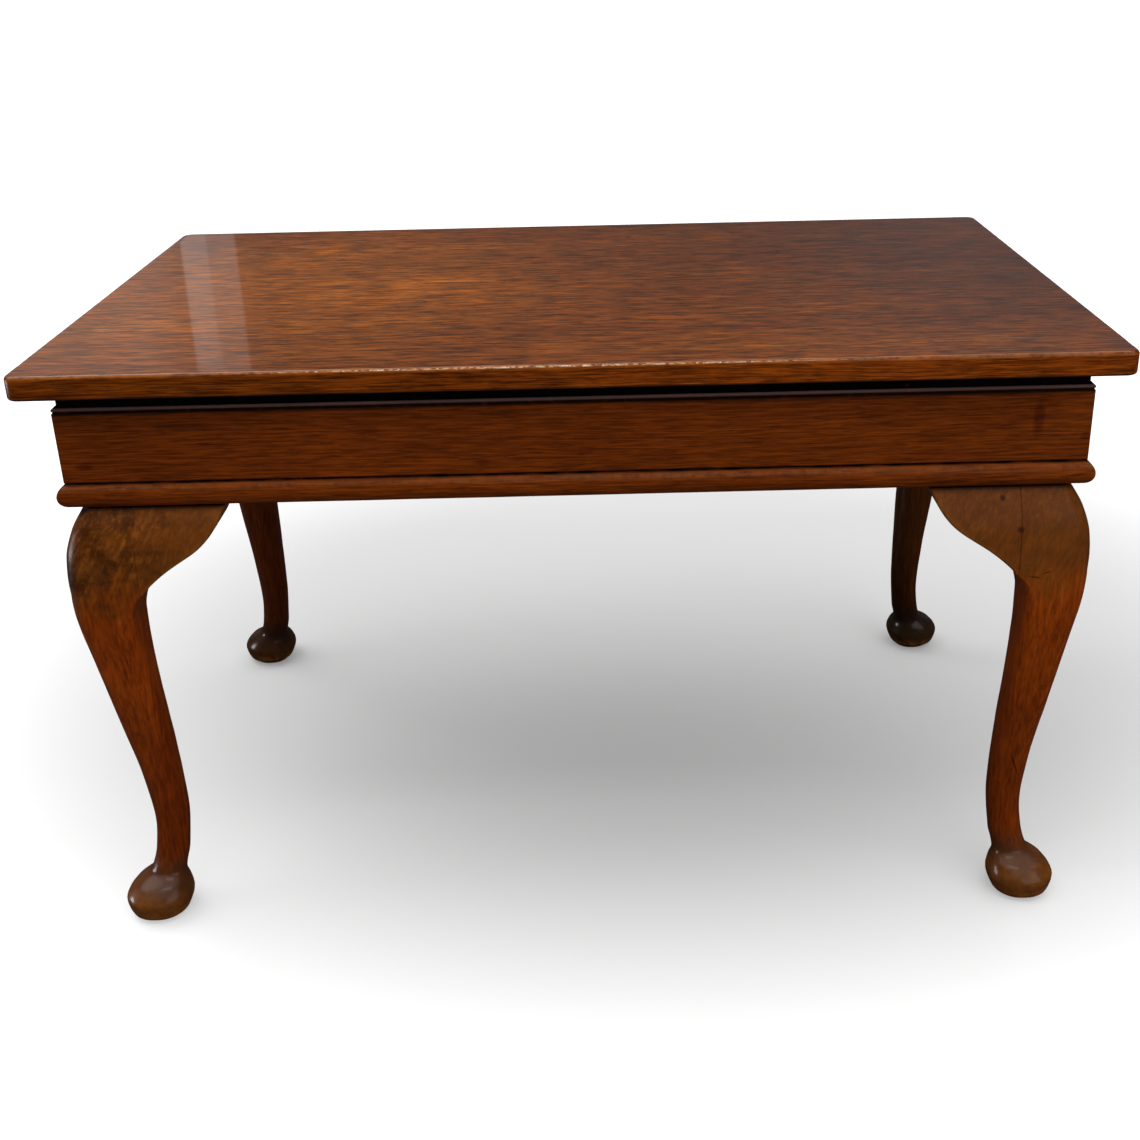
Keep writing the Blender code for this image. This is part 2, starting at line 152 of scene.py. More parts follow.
# Ogee of an ear
EAR_SEAM = 0.03 * MM
EAR_REACH = 70 * MM
EAR_BACK = 24 * MM
EAR_ARRIS = 3 * MM
EAR_ARRIS_SHARE = 0.6
EAR_TIP_HANDLE = 45 * MM
EAR_FOOT_HANDLE = 49 * MM
EAR_TIP_SLOPE = math.radians(68.5)
EAR_FOOT_SLOPE = math.radians(48)
EAR_OGEE_SHARE = 0.985
EAR_STEPS = 60
EAR_FACE_STEPS = 8

# Facets
CORNER_STEPS = 10
ARC_STEPS = 10
ROUND_SIDES = 40
SMOOTH_ANGLE = math.radians(38)
BOARD_ANGLE = math.radians(12)

# Wood tones, from dark to light
TOP_TONES = ((0.100, 0.0185, 0.0010), (0.170, 0.0395, 0.0020), (0.255, 0.0690, 0.0040))
FRIEZE_TONES = ((0.105, 0.0168, 0.0006), (0.160, 0.0292, 0.0010), (0.215, 0.0455, 0.0016))
NOSE_TONES = ((0.098, 0.0145, 0.0005), (0.160, 0.0290, 0.0009), (0.215, 0.0470, 0.0016))
LEG_TONES = ((0.125, 0.0172, 0.0008), (0.208, 0.0338, 0.0014), (0.275, 0.0530, 0.0028))
LINING_TONES = ((0.060, 0.0230, 0.0090), (0.120, 0.0520, 0.0220), (0.180, 0.0880, 0.0400))

# Tones that cover a colour
# Lighter tone of worn edges, also a painted highlight line on the moulding
WORN_AND_SHEEN_TONE = (0.30, 0.095, 0.014, 1)
PORE_TONE = (0.004, 0.0012, 0.0006, 1)
# Grime in the joints, and painted shade in the shadow gap and under the moulding
GRIME_AND_SHADE_TONE = (0.0030, 0.0015, 0.0010, 1)
UNDERSIDE_TONE = (0.085, 0.034, 0.013, 1)
# Painted highlight dotted along the lid's front arris
ARRIS_HIGHLIGHT_TONE = (0.80, 0.55, 0.36, 1)
# Grey dust with a painted sheen on the frieze's beaded top edge
DUST_AND_SHEEN_TONE = (0.20, 0.125, 0.12, 1)
# Painted reflection haze that greys the knees
KNEE_SHEEN_TONE = (0.112, 0.041, 0.007, 1)
FOOT_TONE = (0.052, 0.022, 0.009, 1)
RIM_TONE = (0.18, 0.056, 0.007, 1)
KNOT_TONE = (0.010, 0.004, 0.002, 1)

# Tints that multiply a colour
# Painted shade, purplish, over the right and back of the top
RIGHT_BACK_SHADE_TINT = (0.52, 0.44, 0.60)
# Painted window light that makes the left of the top lighter and more golden
LEFT_LIGHT_TINT = (1.55, 1.70, 1.4)
STREAK_TINT = (1.5, 1.5, 1.0)
FLECK_TINT = (0.25, 0.22, 0.3)
EDGE_TINT = (0.85, 0.72, 0.55)
# Painted light that brightens the lid's edges toward the right
RIGHTWARD_EDGE_LIGHT_TINT = (1.9, 2.0, 1.9)
SMUDGE_TINT = (0.60, 0.52, 0.5)
PATCH_TINT = (0.46, 0.43, 0.45)
KNEE_SMUDGE_TINT = (0.50, 0.48, 0.5)
STROKE_TINT = (1.7, 1.75, 1.5)
# Orange calves: the wood's colour, with painted bounce light from below
CALF_COLOUR_AND_BOUNCE_TINT = (1.32, 1.35, 1.0)
ANKLE_TINT = (0.82, 0.80, 0.8)
# Painted shade on the back legs, deeper and bluer on the back right
BACK_LEG_SHADE_TINT = (0.42, 0.50, 0.9)
BACK_RIGHT_SHADE_TINT = (0.62, 0.82, 1.1)

# Sways of the grain, in cycles per metre and reach, and strengths of its widest layers
GRAIN_SWAYS = (((1.7, 9, 9), 16 * MM), ((22, 40, 40), 2.2 * MM))
BROAD_SHARE = 0.8
FIGURE_SHARE = 0.9

# Layers of noise: cycles per metre along each axis, which a finish gives for dashes, detail and roughness
BROAD = ((1.6, 22, 22), 2.0, 0.5)
FIGURE = ((5, 105, 105), 3.0, 0.6)
FIBRE = ((22, 430, 430), 2.0, 0.6)
PORE = ((62, 480, 480), 1.0, 0.5)
DASH = (3.0, 0.7)
POLISH_CLOUD = ((9, 9, 9), 4.0, 0.6)
SPECK = ((140, 140, 140), 3.0, 0.65)
TOP_CLOUD = ((5, 11, 11), 3.0, 0.6)
TOP_STREAK = ((4, 75, 75), 2.0, 0.5)
# Dots of the painted highlight on the lid's front arris
ARRIS_HIGHLIGHT_DOTS = ((260, 500, 500), 2.0, 0.5)
LEG_CLOUD = ((24, 24, 18), 4.0, 0.6)
KNEE_PATCH = ((70, 70, 90), 4.0, 0.7)
KNEE_STROKE = ((300, 300, 26), 2.0, 0.5)
FOOT_MOTTLE = ((130, 130, 170), 3.0, 0.65)
TARNISH = ((160, 160, 160), 4.0, 0.65)
BRUSHED = ((90, 2600, 2600), 2.0, 0.5)

# Marks, in metres: the middle on the face, the radii and, for some, a turn in degrees
# Part of the top lit by the painted window light
LEFT_LIGHT_PART = ((-0.30, 0.0), (0.34, 0.32, 0.1))
STREAKED_PART = ((-0.05, -0.05), (0.42, 0.13, 0.1))
TOP_FLECKS = (((0.050, 0.188), (0.005, 0.003, 0.05)), ((0.193, 0.107), (0.003, 0.004, 0.05)),
              ((-0.130, -0.060), (0.002, 0.003, 0.05)), ((0.270, 0.020), (0.002, 0.003, 0.05)))
# Where the painted highlight runs along the front arris
ARRIS_HIGHLIGHT_PART = (-0.03, (0.28, 1.1 * MM, 1.1 * MM))
FRIEZE_SMUDGES = (((0.352, 0.440), (0.006, 0.05, 0.020)), ((0.389, 0.424), (0.006, 0.05, 0.005)),
                  ((-0.375, 0.418), (0.010, 0.05, 0.004)))
KNEE_SMUDGE = ((-0.405, 0.335), (0.026, 0.06, 0.030))
LEG_MARKS = (((0.3285, 0.3765), (0.0032, 0.06, 0.0032)), ((0.342, 0.3535), (0.0045, 0.06, 0.004)),
             ((0.356, 0.314), (0.008, 0.06, 0.0012), 12), ((0.365, 0.318), (0.006, 0.06, 0.001), -20),
             ((0.363, 0.1265), (0.0011, 0.06, 0.016), -20), ((-0.385, 0.143), (0.0035, 0.06, 0.0035)))
STROKE_SLANT = math.radians(-28)

# Levels on a leg between which a change of colour starts and ends
KNEE_LEVELS = (0.290, 0.335)
CALF_START = (0.17, 0.25)
CALF_END = (0.30, 0.34)
ANKLE_LEVELS = (0.07, 0.16)
FOOT_LEVELS = (0.045, 0.075)
RIM_LEVELS = (0.036, 0.062)


# Shader nodes

def fill(tree, node, inputs):
    """Give each input of a node a value, or link it to a socket."""
    for key, value in inputs.items():
        if isinstance(value, bpy.types.NodeSocket):
            tree.links.new(value, node.inputs[key])
        else:
            node.inputs[key].default_value = value


def new_node(tree, kind, inputs, settings):
    node = tree.nodes.new(kind)
    for name, value in settings.items():
        setattr(node, name, value)
    fill(tree, node, inputs)
    return node


def put(tree, kind, inputs=None, **settings):
    """Add a shader node with its settings and inputs."""
    return new_node(tree, "ShaderNode" + kind, inputs or {}, settings)


def follow(kind, inputs, **settings):
    """Add a shader node to the tree of the sockets that it follows."""
    tree = next(value.id_data for value in inputs.values() if isinstance(value, bpy.types.NodeSocket))
    return put(tree, kind, inputs, **settings)


def reckon(operation, a, b=0.0, c=0.0, clamp=False):
    return follow("Math", {0: a, 1: b, 2: c}, operation=operation, use_clamp=clamp).outputs[0]


def product(a, b, clamp=False):
    return reckon("MULTIPLY", a, b, clamp=clamp)


def reckon_vector(operation, a, b):
    return follow("VectorMath", {0: a, 1: b}, operation=operation).outputs[0]


def axes_of(place):
    return follow("SeparateXYZ", {0: place}).outputs


def mixed(factor, a, b, blend="MIX"):
    return follow("Mix", {0: factor, 6: a, 7: b}, data_type="RGBA", blend_type=blend).outputs[2]


def ramp(value, low, high, to_low=0.0, to_high=1.0):
    """Smooth step of a value between two levels."""
    limits = {"Value": value, "From Min": low, "From Max": high, "To Min": to_low, "To Max": to_high}
    return follow("MapRange", limits, interpolation_type="SMOOTHSTEP").outputs["Result"]


def fading(value, low, high):
    """Mask that is on below the low level and off above the high one."""
    return ramp(value, low, high, 1.0, 0.0)


def grey(value):
    return follow("CombineColor", {0: value, 1: value, 2: value}).outputs[0]


def stretched_noise(vector, stretch, detail=2.0, roughness=0.5, output="Fac"):
    """Noise whose cycles per metre along each axis are given."""
    scaled = reckon_vector("MULTIPLY", vector, stretch)
    settings = {"Vector": scaled, "Scale": 1.0, "Detail": detail, "Roughness": roughness}
    return follow("TexNoise", settings).outputs[output]


def swayed(place, stretch, reach):
    """Place moved across the grain by soft noise."""
    sway = stretched_noise(place, stretch, output="Color")
    sway = reckon_vector("SUBTRACT", sway, (0.5, 0.5, 0.5))
    sway = reckon_vector("MULTIPLY", sway, (0.0, reach, reach))
    return reckon_vector("ADD", place, sway)


def spot(place, centre, radii, turn=(0, 0, 0)):
    """Soft mask of an ellipsoid."""
    inputs = {"Vector": place, "Location": centre, "Rotation": turn, "Scale": radii}
    local = follow("Mapping", inputs, vector_type="TEXTURE").outputs[0]
    far = follow("VectorMath", {0: local}, operation="LENGTH").outputs["Value"]
    return fading(far, 0.35, 1.0)


def painted(tree, name):
    return put(tree, "Attribute", attribute_name=name, attribute_type="GEOMETRY").outputs["Fac"]


def new_group(name, inputs, outputs):
    """Empty shader node group, with its sockets given as names and kinds."""
    group = bpy.data.node_groups.new(name, "ShaderNodeTree")
    for in_out, sockets in (("INPUT", inputs), ("OUTPUT", outputs)):
        for socket, kind in sockets:
            group.interface.new_socket(socket, in_out=in_out, socket_type="NodeSocket" + kind)
    entry = group.nodes.new("NodeGroupInput")
    leave = group.nodes.new("NodeGroupOutput")
    return group, entry.outputs, leave.inputs


def make_grain_group():
    """Mahogany along X: streaks, figure, fibres, short dashes and dark pores, from a place in metres."""
    inputs = (("Place", "Vector"), ("Dark", "Color"), ("Middle", "Color"), ("Light", "Color"),
              ("Streaks", "Float"), ("Fibres", "Float"), ("Pores", "Float"), ("Dashes", "Float"),
              ("Dash Scale", "Vector"))
    tree, given, made = new_group("mahogany_grain", inputs, (("Colour", "Color"), ("Height", "Float")))
    place = given["Place"]
    for stretch, reach in GRAIN_SWAYS:
        place = swayed(place, stretch, reach)
    broad = product(stretched_noise(place, *BROAD), BROAD_SHARE)
    figure = product(stretched_noise(place, *FIGURE), FIGURE_SHARE)
    fibre = stretched_noise(place, *FIBRE)
    pore = stretched_noise(place, *PORE)
    dash = stretched_noise(place, given["Dash Scale"], *DASH)

    streak = reckon("SUBTRACT", reckon("ADD", broad, figure), (BROAD_SHARE + FIGURE_SHARE) / 2)
    streak = reckon("MULTIPLY_ADD", streak, given["Streaks"], 0.5)
    colour = mixed(ramp(streak, 0.12, 0.55), given["Dark"], given["Middle"])
    colour = mixed(ramp(streak, 0.5, 0.92), colour, given["Light"])
    line = reckon("MULTIPLY_ADD", reckon("SUBTRACT", fibre, 0.5), given["Fibres"], 1.0)
    colour = mixed(1.0, colour, grey(line), "MULTIPLY")
    dark = reckon("SUBTRACT", 1.0, given["Dashes"])
    bright = reckon("ADD", 1.0, given["Dashes"])
    colour = mixed(1.0, colour, grey(ramp(dash, 0.33, 0.67, dark, bright)), "MULTIPLY")
    mask = product(ramp(pore, 0.54, 0.66), given["Pores"], clamp=True)
    tree.links.new(mixed(mask, colour, PORE_TONE), made["Colour"])
    tree.links.new(reckon("SUBTRACT", product(fibre, 0.4), mask), made["Height"])
    return tree


def make_age_group():
    """Lighter worn edges and a painted highlight line, grime in the joints with painted shade in the shadow
    gap and under the moulding, and uneven polish over a wood colour.
    """
    inputs = (("Place", "Vector"), ("Colour", "Color"), ("Worn And Sheen", "Color"), ("Wear And Sheen", "Float"),
              ("Grime And Shade", "Float"), ("Roughness", "Float"))
    tree, given, made = new_group("polish_and_age", inputs, (("Colour", "Color"), ("Roughness", "Float")))
    cloud = stretched_noise(given["Place"], *POLISH_CLOUD)
    speck = stretched_noise(given["Place"], *SPECK)
    uneven = ramp(cloud, 0.25, 0.75, 0.86, 1.14)
    colour = mixed(1.0, given["Colour"], grey(uneven), "MULTIPLY")
    # lighter worn edges, and the painted highlight line on the moulding
    rub_and_sheen = product(given["Wear And Sheen"], ramp(speck, 0.3, 0.62), clamp=True)
    colour = mixed(rub_and_sheen, colour, given["Worn And Sheen"])
    # grime, and painted shade in the shadow gap and under the moulding
    grime_and_shade_mask = product(given["Grime And Shade"], ramp(speck, 0.15, 0.5, 0.8, 1.2), clamp=True)
    dull = product(given["Roughness"], ramp(cloud, 0.2, 0.8, 0.85, 1.2))
    dull = reckon("ADD", dull, product(grime_and_shade_mask, 0.3), clamp=True)
    tree.links.new(mixed(grime_and_shade_mask, colour, GRIME_AND_SHADE_TONE), made["Colour"])
    tree.links.new(dull, made["Roughness"])
    return tree


GRAIN = make_grain_group()
AGE = make_age_group()
TURNS = {"X": (0, 0, 0), "Y": (0, 0, math.pi / 2), "Z": (0, math.pi / 2, 0)}


def new_material(name):
    material = bpy.data.materials.new(name)
    material.use_nodes = True
    tree = material.node_tree
    return material, tree, tree.nodes["Principled BSDF"]


def make_wood(name, along, tones, dress=None, shine=None, *, roughness, gloss, streaks, fibres, pores,
              dashes, dash_scale, coat=0.0, coat_roughness=0.15, bump=0.25):
    """Polished mahogany with its grain along an axis; dress and shine change colour and coat by place."""
    material, tree, shader = new_material(name)
    place = put(tree, "TexCoord").outputs["Object"]
    turned = follow("Mapping", {"Vector": place, "Rotation": TURNS[along]}).outputs[0]
    dark, middle, light = ((*tone, 1.0) for tone in tones)
    inputs = {"Place": turned, "Dark": dark, "Middle": middle, "Light": light, "Streaks": streaks,
              "Fibres": fibres, "Pores": pores, "Dashes": dashes, "Dash Scale": dash_scale}
    grain = put(tree, "Group", inputs, node_tree=GRAIN).outputs
    colour = grain["Colour"] if dress is None else dress(place, grain["Colour"])
    inputs = {"Place": place, "Colour": colour, "Worn And Sheen": WORN_AND_SHEEN_TONE, "Roughness": roughness,
              "Wear And Sheen": painted(tree, "wear_and_sheen"), "Grime And Shade": painted(tree, "grime_and_shade")}
    age = put(tree, "Group", inputs, node_tree=AGE).outputs
    relief = put(tree, "Bump", {"Height": grain["Height"], "Strength": bump, "Distance": 0.3 * MM})
    tree.links.new(age["Colour"], shader.inputs["Base Color"])
    tree.links.new(age["Roughness"], shader.inputs["Roughness"])
    tree.links.new(relief.outputs[0], shader.inputs["Normal"])
    shader.inputs["Specular IOR Level"].default_value = gloss
    if shine is None:
        shader.inputs["Coat Weight"].default_value = coat
    else:
        tree.links.new(shine(place), shader.inputs["Coat Weight"])
    shader.inputs["Coat Roughness"].default_value = coat_roughness
    return material


def layered(colour, layers):
    """Colour under layers of (mask, shade): a tint of three numbers multiplies, a tone of four covers."""
    for mask, shade in layers:
        if len(shade) == 3:
            shade = mixed(1.0, colour, (*shade, 1.0), "MULTIPLY")
        colour = mixed(mask, colour, shade)
    return colour


def dress_top(place, colour):
    """Painted window light on the golden left and painted shade over the right and back, orange streaks,
    dark flecks, warm edges with painted light growing to the right, and a painted highlight dotted along
    the front arris.
    """
    axes = axes_of(place)
    face = LID_HIGH.z
    arris_low = face - 0.3 * LID_TOP_ARRIS

    def part(centre, radii):
        return spot(place, (*centre, face), radii)

    wander = reckon("MULTIPLY_ADD", stretched_noise(place, *TOP_CLOUD), 0.30, -0.15)
    across = reckon("ADD", reckon("MULTIPLY_ADD", axes["Y"], 0.7, axes["X"]), wander)
    streak = ramp(stretched_noise(place, *TOP_STREAK), 0.6, 0.7)
    edge = fading(axes["Z"], face - LID_TOP_ARRIS, arris_low)
    # painted light along the edges, growing toward the right
    edge_light_to_right = product(edge, ramp(axes["X"], -0.40, 0.42))
    under = ramp(axes["Z"], LID_LOW.z, LID_LOW.z + LID_BOTTOM_ARRIS, 0.7, 0.0)
    middle, radii = ARRIS_HIGHLIGHT_PART
    # painted highlight dotted along the front arris
    arris_highlight = spot(place, (middle, LID_LOW.y + 0.3 * LID_TOP_ARRIS, arris_low), radii)
    highlight_dots = ramp(stretched_noise(place, *ARRIS_HIGHLIGHT_DOTS), 0.42, 0.58)
    return layered(colour, [
        # painted shade over the right and back of the top
        (ramp(across, 0.0, 0.48), RIGHT_BACK_SHADE_TINT),
        # painted window light on the left of the top
        (part(*LEFT_LIGHT_PART), LEFT_LIGHT_TINT),
        (product(streak, part(*STREAKED_PART)), STREAK_TINT),
        *((part(*fleck), FLECK_TINT) for fleck in TOP_FLECKS),
        (edge, EDGE_TINT),
        (edge_light_to_right, RIGHTWARD_EDGE_LIGHT_TINT),
        (under, UNDERSIDE_TONE),
        (product(arris_highlight, highlight_dots), ARRIS_HIGHLIGHT_TONE),
    ])


def dress_frieze(place, colour):
    """Dark smudges near both ends of the front, and grey dust with a painted sheen along the beaded top
    edge.
    """
    height = axes_of(place)["Z"]
    smudges = [spot(place, (x, -HALF_DEPTH, z), radii) for (x, z), radii in FRIEZE_SMUDGES]
    dust_and_sheen = product(ramp(height, BEAD_TOP - 0.95 * BEAD, BEAD_TOP - 0.6 * BEAD),
                   fading(height, BEAD_TOP + GAP, BEAD_TOP + 3 * GAP))
    layers = [(smudge, SMUDGE_TINT) for smudge in smudges]
    return layered(colour, [*layers, (product(dust_and_sheen, 0.85), DUST_AND_SHEEN_TONE)])


def dress_leg(place, colour):
    """Patchy knees greyed by a painted reflection haze, orange calves lifted in part by painted bounce
    light, dusky feet with worn rims, knots, checks and painted shade on the back legs.
    """
    axes = axes_of(place)
    height = axes["Z"]

    def mark(centre, radii, turn=0):
        x, z = centre
        return spot(place, (x, -FOOT_Y, z), radii, (0, math.radians(turn), 0))

    cloud = stretched_noise(place, *LEG_CLOUD)
    level = reckon("ADD", height, reckon("MULTIPLY_ADD", cloud, 0.09, -0.045))
    knee = ramp(level, *KNEE_LEVELS)
    smudged_knee = product(knee, ramp(axes["X"], -0.35, -0.30, 1.0, 0.3))
    patch = ramp(stretched_noise(place, *KNEE_PATCH), 0.38, 0.66)
    slant = follow("Mapping", {"Vector": place, "Rotation": (0, STROKE_SLANT, 0)}).outputs[0]
    stroke = ramp(stretched_noise(slant, *KNEE_STROKE), 0.45, 0.68)
    calf = product(ramp(height, *CALF_START), fading(height, *CALF_END))
    foot = fading(reckon("MULTIPLY_ADD", cloud, 0.02, height), *FOOT_LEVELS)
    rim = fading(reckon("MULTIPLY_ADD", cloud, 0.04, height), *RIM_LEVELS)
    mottle = ramp(stretched_noise(place, *FOOT_MOTTLE), 0.35, 0.65, 0.5, 1.0)
    behind = ramp(axes["Y"], 0.0, 0.15)
    return layered(colour, [
        # painted reflection haze greying the knees
        (product(knee, 0.7), KNEE_SHEEN_TONE),
        (product(smudged_knee, patch), PATCH_TINT),
        (mark(*KNEE_SMUDGE), KNEE_SMUDGE_TINT),
        (product(smudged_knee, stroke), STROKE_TINT),
        # the calves' orange colour with painted bounce light from below
        (calf, CALF_COLOUR_AND_BOUNCE_TINT),
        (fading(height, *ANKLE_LEVELS), ANKLE_TINT),
        (product(foot, 0.85), FOOT_TONE),
        (product(rim, mottle), RIM_TONE),
        *((product(mark(*row), 0.75), KNOT_TONE) for row in LEG_MARKS),
        # painted shade on the back legs, deeper on the back right
        (behind, BACK_LEG_SHADE_TINT),
        (product(behind, ramp(axes["X"], -0.1, 0.2)), BACK_RIGHT_SHADE_TINT),
    ])


def top_shine(place):
    """Full polish on the face, most of it handled off the edges."""
    low, high = (LID_HIGH.z - share * LID_TOP_ARRIS for share in (0.2, 0.02))
    return ramp(axes_of(place)["Z"], low, high, 0.03, 0.9)


def foot_shine(place):
    """Some polish left on the feet, and none on the handled legs."""
    return ramp(axes_of(place)["Z"], *FOOT_LEVELS, 0.22, 0.0)


def make_metal(name, colour, tarnish, roughness):
    """Brushed metal with spots of tarnish."""
    material, tree, shader = new_material(name)
    place = put(tree, "TexCoord").outputs["Object"]
    spots = ramp(stretched_noise(place, *TARNISH), 0.42, 0.68)
    brushed = stretched_noise(place, *BRUSHED)
    tree.links.new(mixed(spots, (*colour, 1), (*tarnish, 1)), shader.inputs["Base Color"])
    dull = reckon("MULTIPLY_ADD", spots, 0.25, roughness)
    tree.links.new(reckon("MULTIPLY_ADD", brushed, 0.12, dull), shader.inputs["Roughness"])
    relief = put(tree, "Bump", {"Height": brushed, "Strength": 0.15, "Distance": 0.1 * MM})
    tree.links.new(relief.outputs[0], shader.inputs["Normal"])
    shader.inputs["Metallic"].default_value = 1.0
    return material


TOP_FINISH = {"roughness": 0.3, "gloss": 0.1, "coat_roughness": 0.05, "streaks": 0.7, "fibres": 1.1,
              "pores": 0.3, "dashes": 0.62, "dash_scale": (30, 300, 1000), "bump": 0.12}
FRONT_FINISH = {"roughness": 0.5, "gloss": 0.07, "coat": 0.02, "streaks": 0.45, "fibres": 0.6,
                "pores": 0.25, "dashes": 0.40, "dash_scale": (24, 700, 700)}
LEG_FINISH = {"roughness": 0.36, "gloss": 0.07, "coat_roughness": 0.16, "streaks": 0.9, "fibres": 0.6,
              "pores": 0.25, "dashes": 0.24, "dash_scale": (40, 420, 420)}
LINING_FINISH = {"roughness": 0.62, "gloss": 0.25, "streaks": 1.0, "fibres": 0.8, "pores": 0.6,
                 "dashes": 0.2, "dash_scale": (70, 420, 420)}
WOODS = {
    "top": make_wood("polished_top", "X", TOP_TONES, dress_top, top_shine, **TOP_FINISH),
    "leg": make_wood("leg_wood", "Z", LEG_TONES, dress_leg, foot_shine, **LEG_FINISH),
}
for wood, label, tones, dress, finish in (("frieze", "frieze", FRIEZE_TONES, dress_frieze, FRONT_FINISH),
                                          ("nose", "moulding", NOSE_TONES, None, FRONT_FINISH),
                                          ("lining", "lining", LINING_TONES, None, LINING_FINISH)):
    WOODS[wood] = make_wood(f"{label}_wood", "X", tones, dress, **finish)
    WOODS[f"{wood}_side"] = make_wood(f"{label}_side_wood", "Y", tones, dress, **finish)
BRASS = make_metal("aged_brass", (0.44, 0.27, 0.085), (0.11, 0.055, 0.020), 0.32)
STEEL = make_metal("screw_steel", (0.32, 0.31, 0.30), (0.12, 0.07, 0.045), 0.38)


# Mesh helpers

def arc(centre, radius, start, end, steps=ARC_STEPS):
    """Points of a circular arc, angles in degrees."""
    points = []
    for k in range(steps + 1):
        angle = math.radians(start + (end - start) * k / steps)
        points.append((centre[0] + radius * math.cos(angle), centre[1] + radius * math.sin(angle)))
    return points


def circle(radius):
    return arc((0, 0), radius, 0, 360, ROUND_SIDES)[:-1]


def smooth_line(points, at):
    """Value at a height on a smooth line through (height, value) points that never overshoots them."""
    steps = [(b[1] - a[1]) / (b[0] - a[0]) for a, b in zip(points, points[1:])]
    slopes = [steps[0]]
    for before, after in zip(steps, steps[1:]):
        slopes.append(2 * before * after / (before + after) if before * after > 0 else 0.0)
    slopes.append(steps[-1])
    k = 0
    while k < len(steps) - 1 and at > points[k + 1][0]:
        k += 1
    width = points[k + 1][0] - points[k][0]
    s = (at - points[k][0]) / width
    start = (1 + 2 * s) * (1 - s) ** 2 * points[k][1] + s * (1 - s) ** 2 * width * slopes[k]
    end = s * s * (3 - 2 * s) * points[k + 1][1] - s * s * (1 - s) * width * slopes[k + 1]
    return start + end


def bezier(a, b, c, d, t):
    return tuple((1 - t) ** 3 * p + 3 * t * (1 - t) ** 2 * q + 3 * t * t * (1 - t) * r + t ** 3 * s
                 for p, q, r, s in zip(a, b, c, d))


def loft(rings):
    """Closed solid through rings of equal point count, capped at both ends."""
    bm = bmesh.new()
    rows = [[bm.verts.new(point) for point in ring] for ring in rings]
    count = len(rings[0])
    for lower, upper in zip(rows, rows[1:]):
        for i in range(count):
            j = (i + 1) % count
            bm.faces.new((lower[i], lower[j], upper[j], upper[i]))
    bm.faces.new(rows[0])
    bm.faces.new(rows[-1])
    bmesh.ops.recalc_face_normals(bm, faces=bm.faces)
    return bm


def block(low, high, ease=0.0):
    """Rectangular solid between two corners, with its edges eased."""
    bm = bmesh.new()
    bmesh.ops.create_cube(bm, size=1.0)
    for vert in bm.verts:
        for axis in range(3):
            vert.co[axis] = low[axis] if vert.co[axis] < 0 else high[axis]
    if ease:
        bmesh.ops.bevel(bm, geom=bm.edges[:], offset=ease, segments=3, profile=0.5, affect="EDGES")
    return bm


def rod(x_low, x_high, radius, ease=0.0):
    """Round bar on the hinge axis, with its ends eased."""
    ends = [(x_low, radius - ease), (x_high, radius - ease)]
    if ease:
        ends[1:1] = [(x_low + ease, radius), (x_high - ease, radius)]
    return loft([[(x, AXIS_Y + a, AXIS_Z + b) for a, b in circle(size)] for x, size in ends])


def mesh_of(name, bm):
    """Mesh of a bmesh, which is used up."""
    mesh = bpy.data.meshes.new(name)
    bm.to_mesh(mesh)
    bm.free()
    return mesh


def new_object(name, data):
    made = bpy.data.objects.new(name, data)
    bpy.context.scene.collection.objects.link(made)
    return made


def spare_object(bm):
    bmesh.ops.recalc_face_normals(bm, faces=bm.faces)
    return new_object("workpiece", mesh_of("workpiece", bm))


def finished_mesh(work):
    """Plain mesh of an object with its modifiers applied; the object goes."""
    bpy.context.view_layer.update()
    solid = bpy.data.meshes.new_from_object(work.evaluated_get(bpy.context.evaluated_depsgraph_get()))
    discard(work)
    return solid


def discard(spare):
    mesh = spare.data
    bpy.data.objects.remove(spare)
    bpy.data.meshes.remove(mesh)


def shaped(bm, operation, tools):
    """Solid joined or cut with other solids, which are used up."""
    work = spare_object(bm)
    helpers = [spare_object(tool) for tool in tools]
    group = bpy.data.collections.new("helpers")
    for helper in helpers:
        group.objects.link(helper)
    modifier = work.modifiers.new("shape", "BOOLEAN")
    modifier.operation = operation
    modifier.operand_type = "COLLECTION"
    modifier.collection = group
    modifier.solver = "EXACT"
    solid = finished_mesh(work)
    for helper in helpers:
        discard(helper)
    bpy.data.collections.remove(group)
    result = bmesh.new()
    result.from_mesh(solid)
    bpy.data.meshes.remove(solid)
    return result


def carve_by_hand(bm, depth=CARVING_DEPTH, size=CARVING_SIZE):
    """Slight unevenness of hand work, never below the floor."""
    bm.normal_update()
    moves = [vert.normal * (depth * noise.noise(vert.co / size)) for vert in bm.verts]
    for vert, move in zip(bm.verts, moves):
        vert.co += move
        vert.co.z = max(vert.co.z, 0.0)


def paint(bm, name, value_at):
    """Store a value from 0 to 1 at each point of a mesh."""
    layer = bm.verts.layers.float.get(name) or bm.verts.layers.float.new(name)
    for vert in bm.verts:
        vert[layer] = min(1.0, max(0.0, value_at(vert.co)))


def add_piece(name, bm, material, body, nodes, angle=SMOOTH_ANGLE):
    """Turn a bmesh into a piece that rides on a body and stands for CAD nodes."""
    bmesh.ops.recalc_face_normals(bm, faces=bm.faces)
    place_piece(name, mesh_of(name, bm), material, body, nodes, angle)


def place_piece(name, mesh, material, body, nodes, angle=SMOOTH_ANGLE):
    mesh.materials.clear()
    mesh.materials.append(material)
    mesh.shade_smooth()
    mesh.set_sharp_from_angle(angle=angle)
    piece = new_object(name, mesh)
    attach(piece, body)
    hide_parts(*nodes)


# Lid

